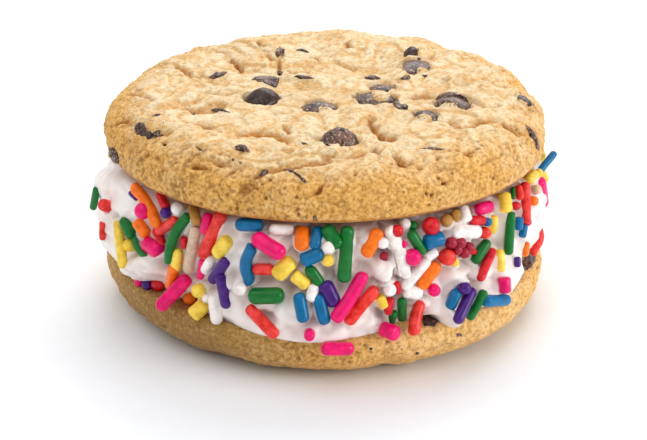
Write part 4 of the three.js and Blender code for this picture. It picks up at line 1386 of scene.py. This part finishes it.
for colour, spots, rod_radius, _ in rods:
    a, c = np.array(spots[0]), np.array(spots[2])
    run = c - a
    near = np.flatnonzero(np.linalg.norm(points - (a + c) / 2, axis=1) < np.linalg.norm(run) / 2 + NEAR)
    share = np.clip((points[near] - a) @ run / (run @ run), 0, 1)
    gap = np.linalg.norm(points[near] - a - share[:, None] * run, axis=1) - rod_radius
    rise = CLIMB - FLANK_CLIMB_LESS * at_flank(math.degrees(math.atan2(spots[1].y, spots[1].x)))
    climb[near] = np.maximum(climb[near], rise * bell(gap, CLIMB_WIDTH))
    crowd[near] += smooth(gap, 3.0, 0.5)
    bare[near] = np.minimum(bare[near], gap)
    strength = DYE_SHARE * np.exp(-np.maximum(gap, 0) / DYE_WIDTH) * (colour not in ("white", "cream"))
    stronger = strength > stain[near, 3]
    stain[near[stronger], :3] = linear(DYES[colour])[:3]
    stain[near[stronger], 3] = strength[stronger]
open_side = at_side(bearing, OPEN_SIDE)
between_rods = smooth(crowd, 1.4, 3.4) * smooth(bare, 0.1, 0.7)
lift -= CROWDED_SINK * between_rods
# painted shade under the top cookie's rim, less on the open side, added to the painted shade in the lumps'
# low places and between crowded rods
painted_rim_shade = 0.5 * smooth(z, ICE_ROOF - 3.4, ICE_ROOF - 1.2) + 0.5 * smooth(z, ICE_ROOF - 1.6, ICE_ROOF - 0.7)
painted_rim_shade *= 1 - 0.8 * open_side
painted_hollow_shade = np.clip(0.3 * smooth(-soft, 0.05, 0.55) * (1 - open_side) + 0.5 * between_rods + painted_rim_shade, 0, 1)
points = side_points(bearing, z, radius + lift + climb * ends)
top_cap = [points[:count] * (s, s, 1) for s in CAP_SHARES]
low_cap = [points[-count:] * (s, s, 1) for s in CAP_SHARES[::-1]]
points = np.concatenate(top_cap + [points] + low_cap)
faces = stitched([count] * (levels + 2 * len(CAP_SHARES)))
in_cap = len(CAP_SHARES) * count
clear = np.tile(stain[0] * (1, 1, 1, 0), (in_cap, 1))
stain = np.concatenate([clear, stain, clear])
painted_hollow_shade = np.pad(painted_hollow_shade, in_cap)
piece("vanilla_ice_cream", points, faces, vanilla, ["ice_cream"],
      {"stain": stain, "painted_hollow_shade": painted_hollow_shade})

# %% [markdown]
# ## Floor and light
# The sandwich stands on a white sweep of card. The key light is a soft box up and behind it, a little to
# the right, so the top is bright and the shadow falls to the front. A larger one overhead, a low one at
# the right and the room's own white light all round keep the front in soft shade.

# %% Floor
card, tree, place = material("white_card")
tooth = add(tree, "TexNoise", {"Vector": place, "Scale": 1 / (3 * MM), "Detail": 2.0})
paper = blend(tree, tooth.outputs["Fac"], "#F1F4F8", "#F5F8FB")
sheet = add(tree, "BsdfPrincipled", {"Base Color": paper, "Roughness": 0.9, "Specular IOR Level": 0.1})
add(tree, "OutputMaterial", {"Surface": sheet.outputs[0]})
FLOOR_HALF = 3.0
corners = [(x * FLOOR_HALF, y * FLOOR_HALF, 0) for x, y in ((-1, -1), (1, -1), (1, 1), (-1, 1))]
floor_mesh = bpy.data.meshes.new("floor")
floor_mesh.from_pydata(corners, [], [(0, 1, 2, 3)])
floor_mesh.materials.append(card)
floor = bpy.data.objects.new("floor", floor_mesh)
bpy.context.collection.objects.link(floor)
print(f"floor {2 * FLOOR_HALF:.0f} m wide")

# %% Light
ROOM_LIGHT, ROOM_STRENGTH = "#FFFFFF", 0.5
LIT_PLACE = Vector((0, 0, 0.02))


def soft_light(name, place, size, power):
    """A square soft box of a size in metres that faces the sandwich."""
    lamp = bpy.data.lights.new(name, "AREA")
    lamp.shape = "SQUARE"
    lamp.size = size
    lamp.energy = power
    made = bpy.data.objects.new(name, lamp)
    made.location = place
    made.rotation_mode = "QUATERNION"
    made.rotation_quaternion = (LIT_PLACE - Vector(place)).to_track_quat("-Z", "Y")
    bpy.context.collection.objects.link(made)
    print(f"{name} light: {power} W, {size} m wide")


soft_light("key", (0.15, 0.55, 0.62), 0.7, 4.3)
soft_light("sky", (-0.35, -0.2, 1.0), 1.5, 7.0)
soft_light("fill", (0.95, -0.35, 0.3), 0.5, 5.2)
world = bpy.data.worlds.new("studio")
world.use_nodes = True
world.node_tree.nodes["Background"].inputs["Color"].default_value = linear(ROOM_LIGHT)
world.node_tree.nodes["Background"].inputs["Strength"].default_value = ROOM_STRENGTH
bpy.context.scene.world = world
bpy.context.scene.view_settings.view_transform = "Standard"
bpy.context.scene.view_settings.look = "None"
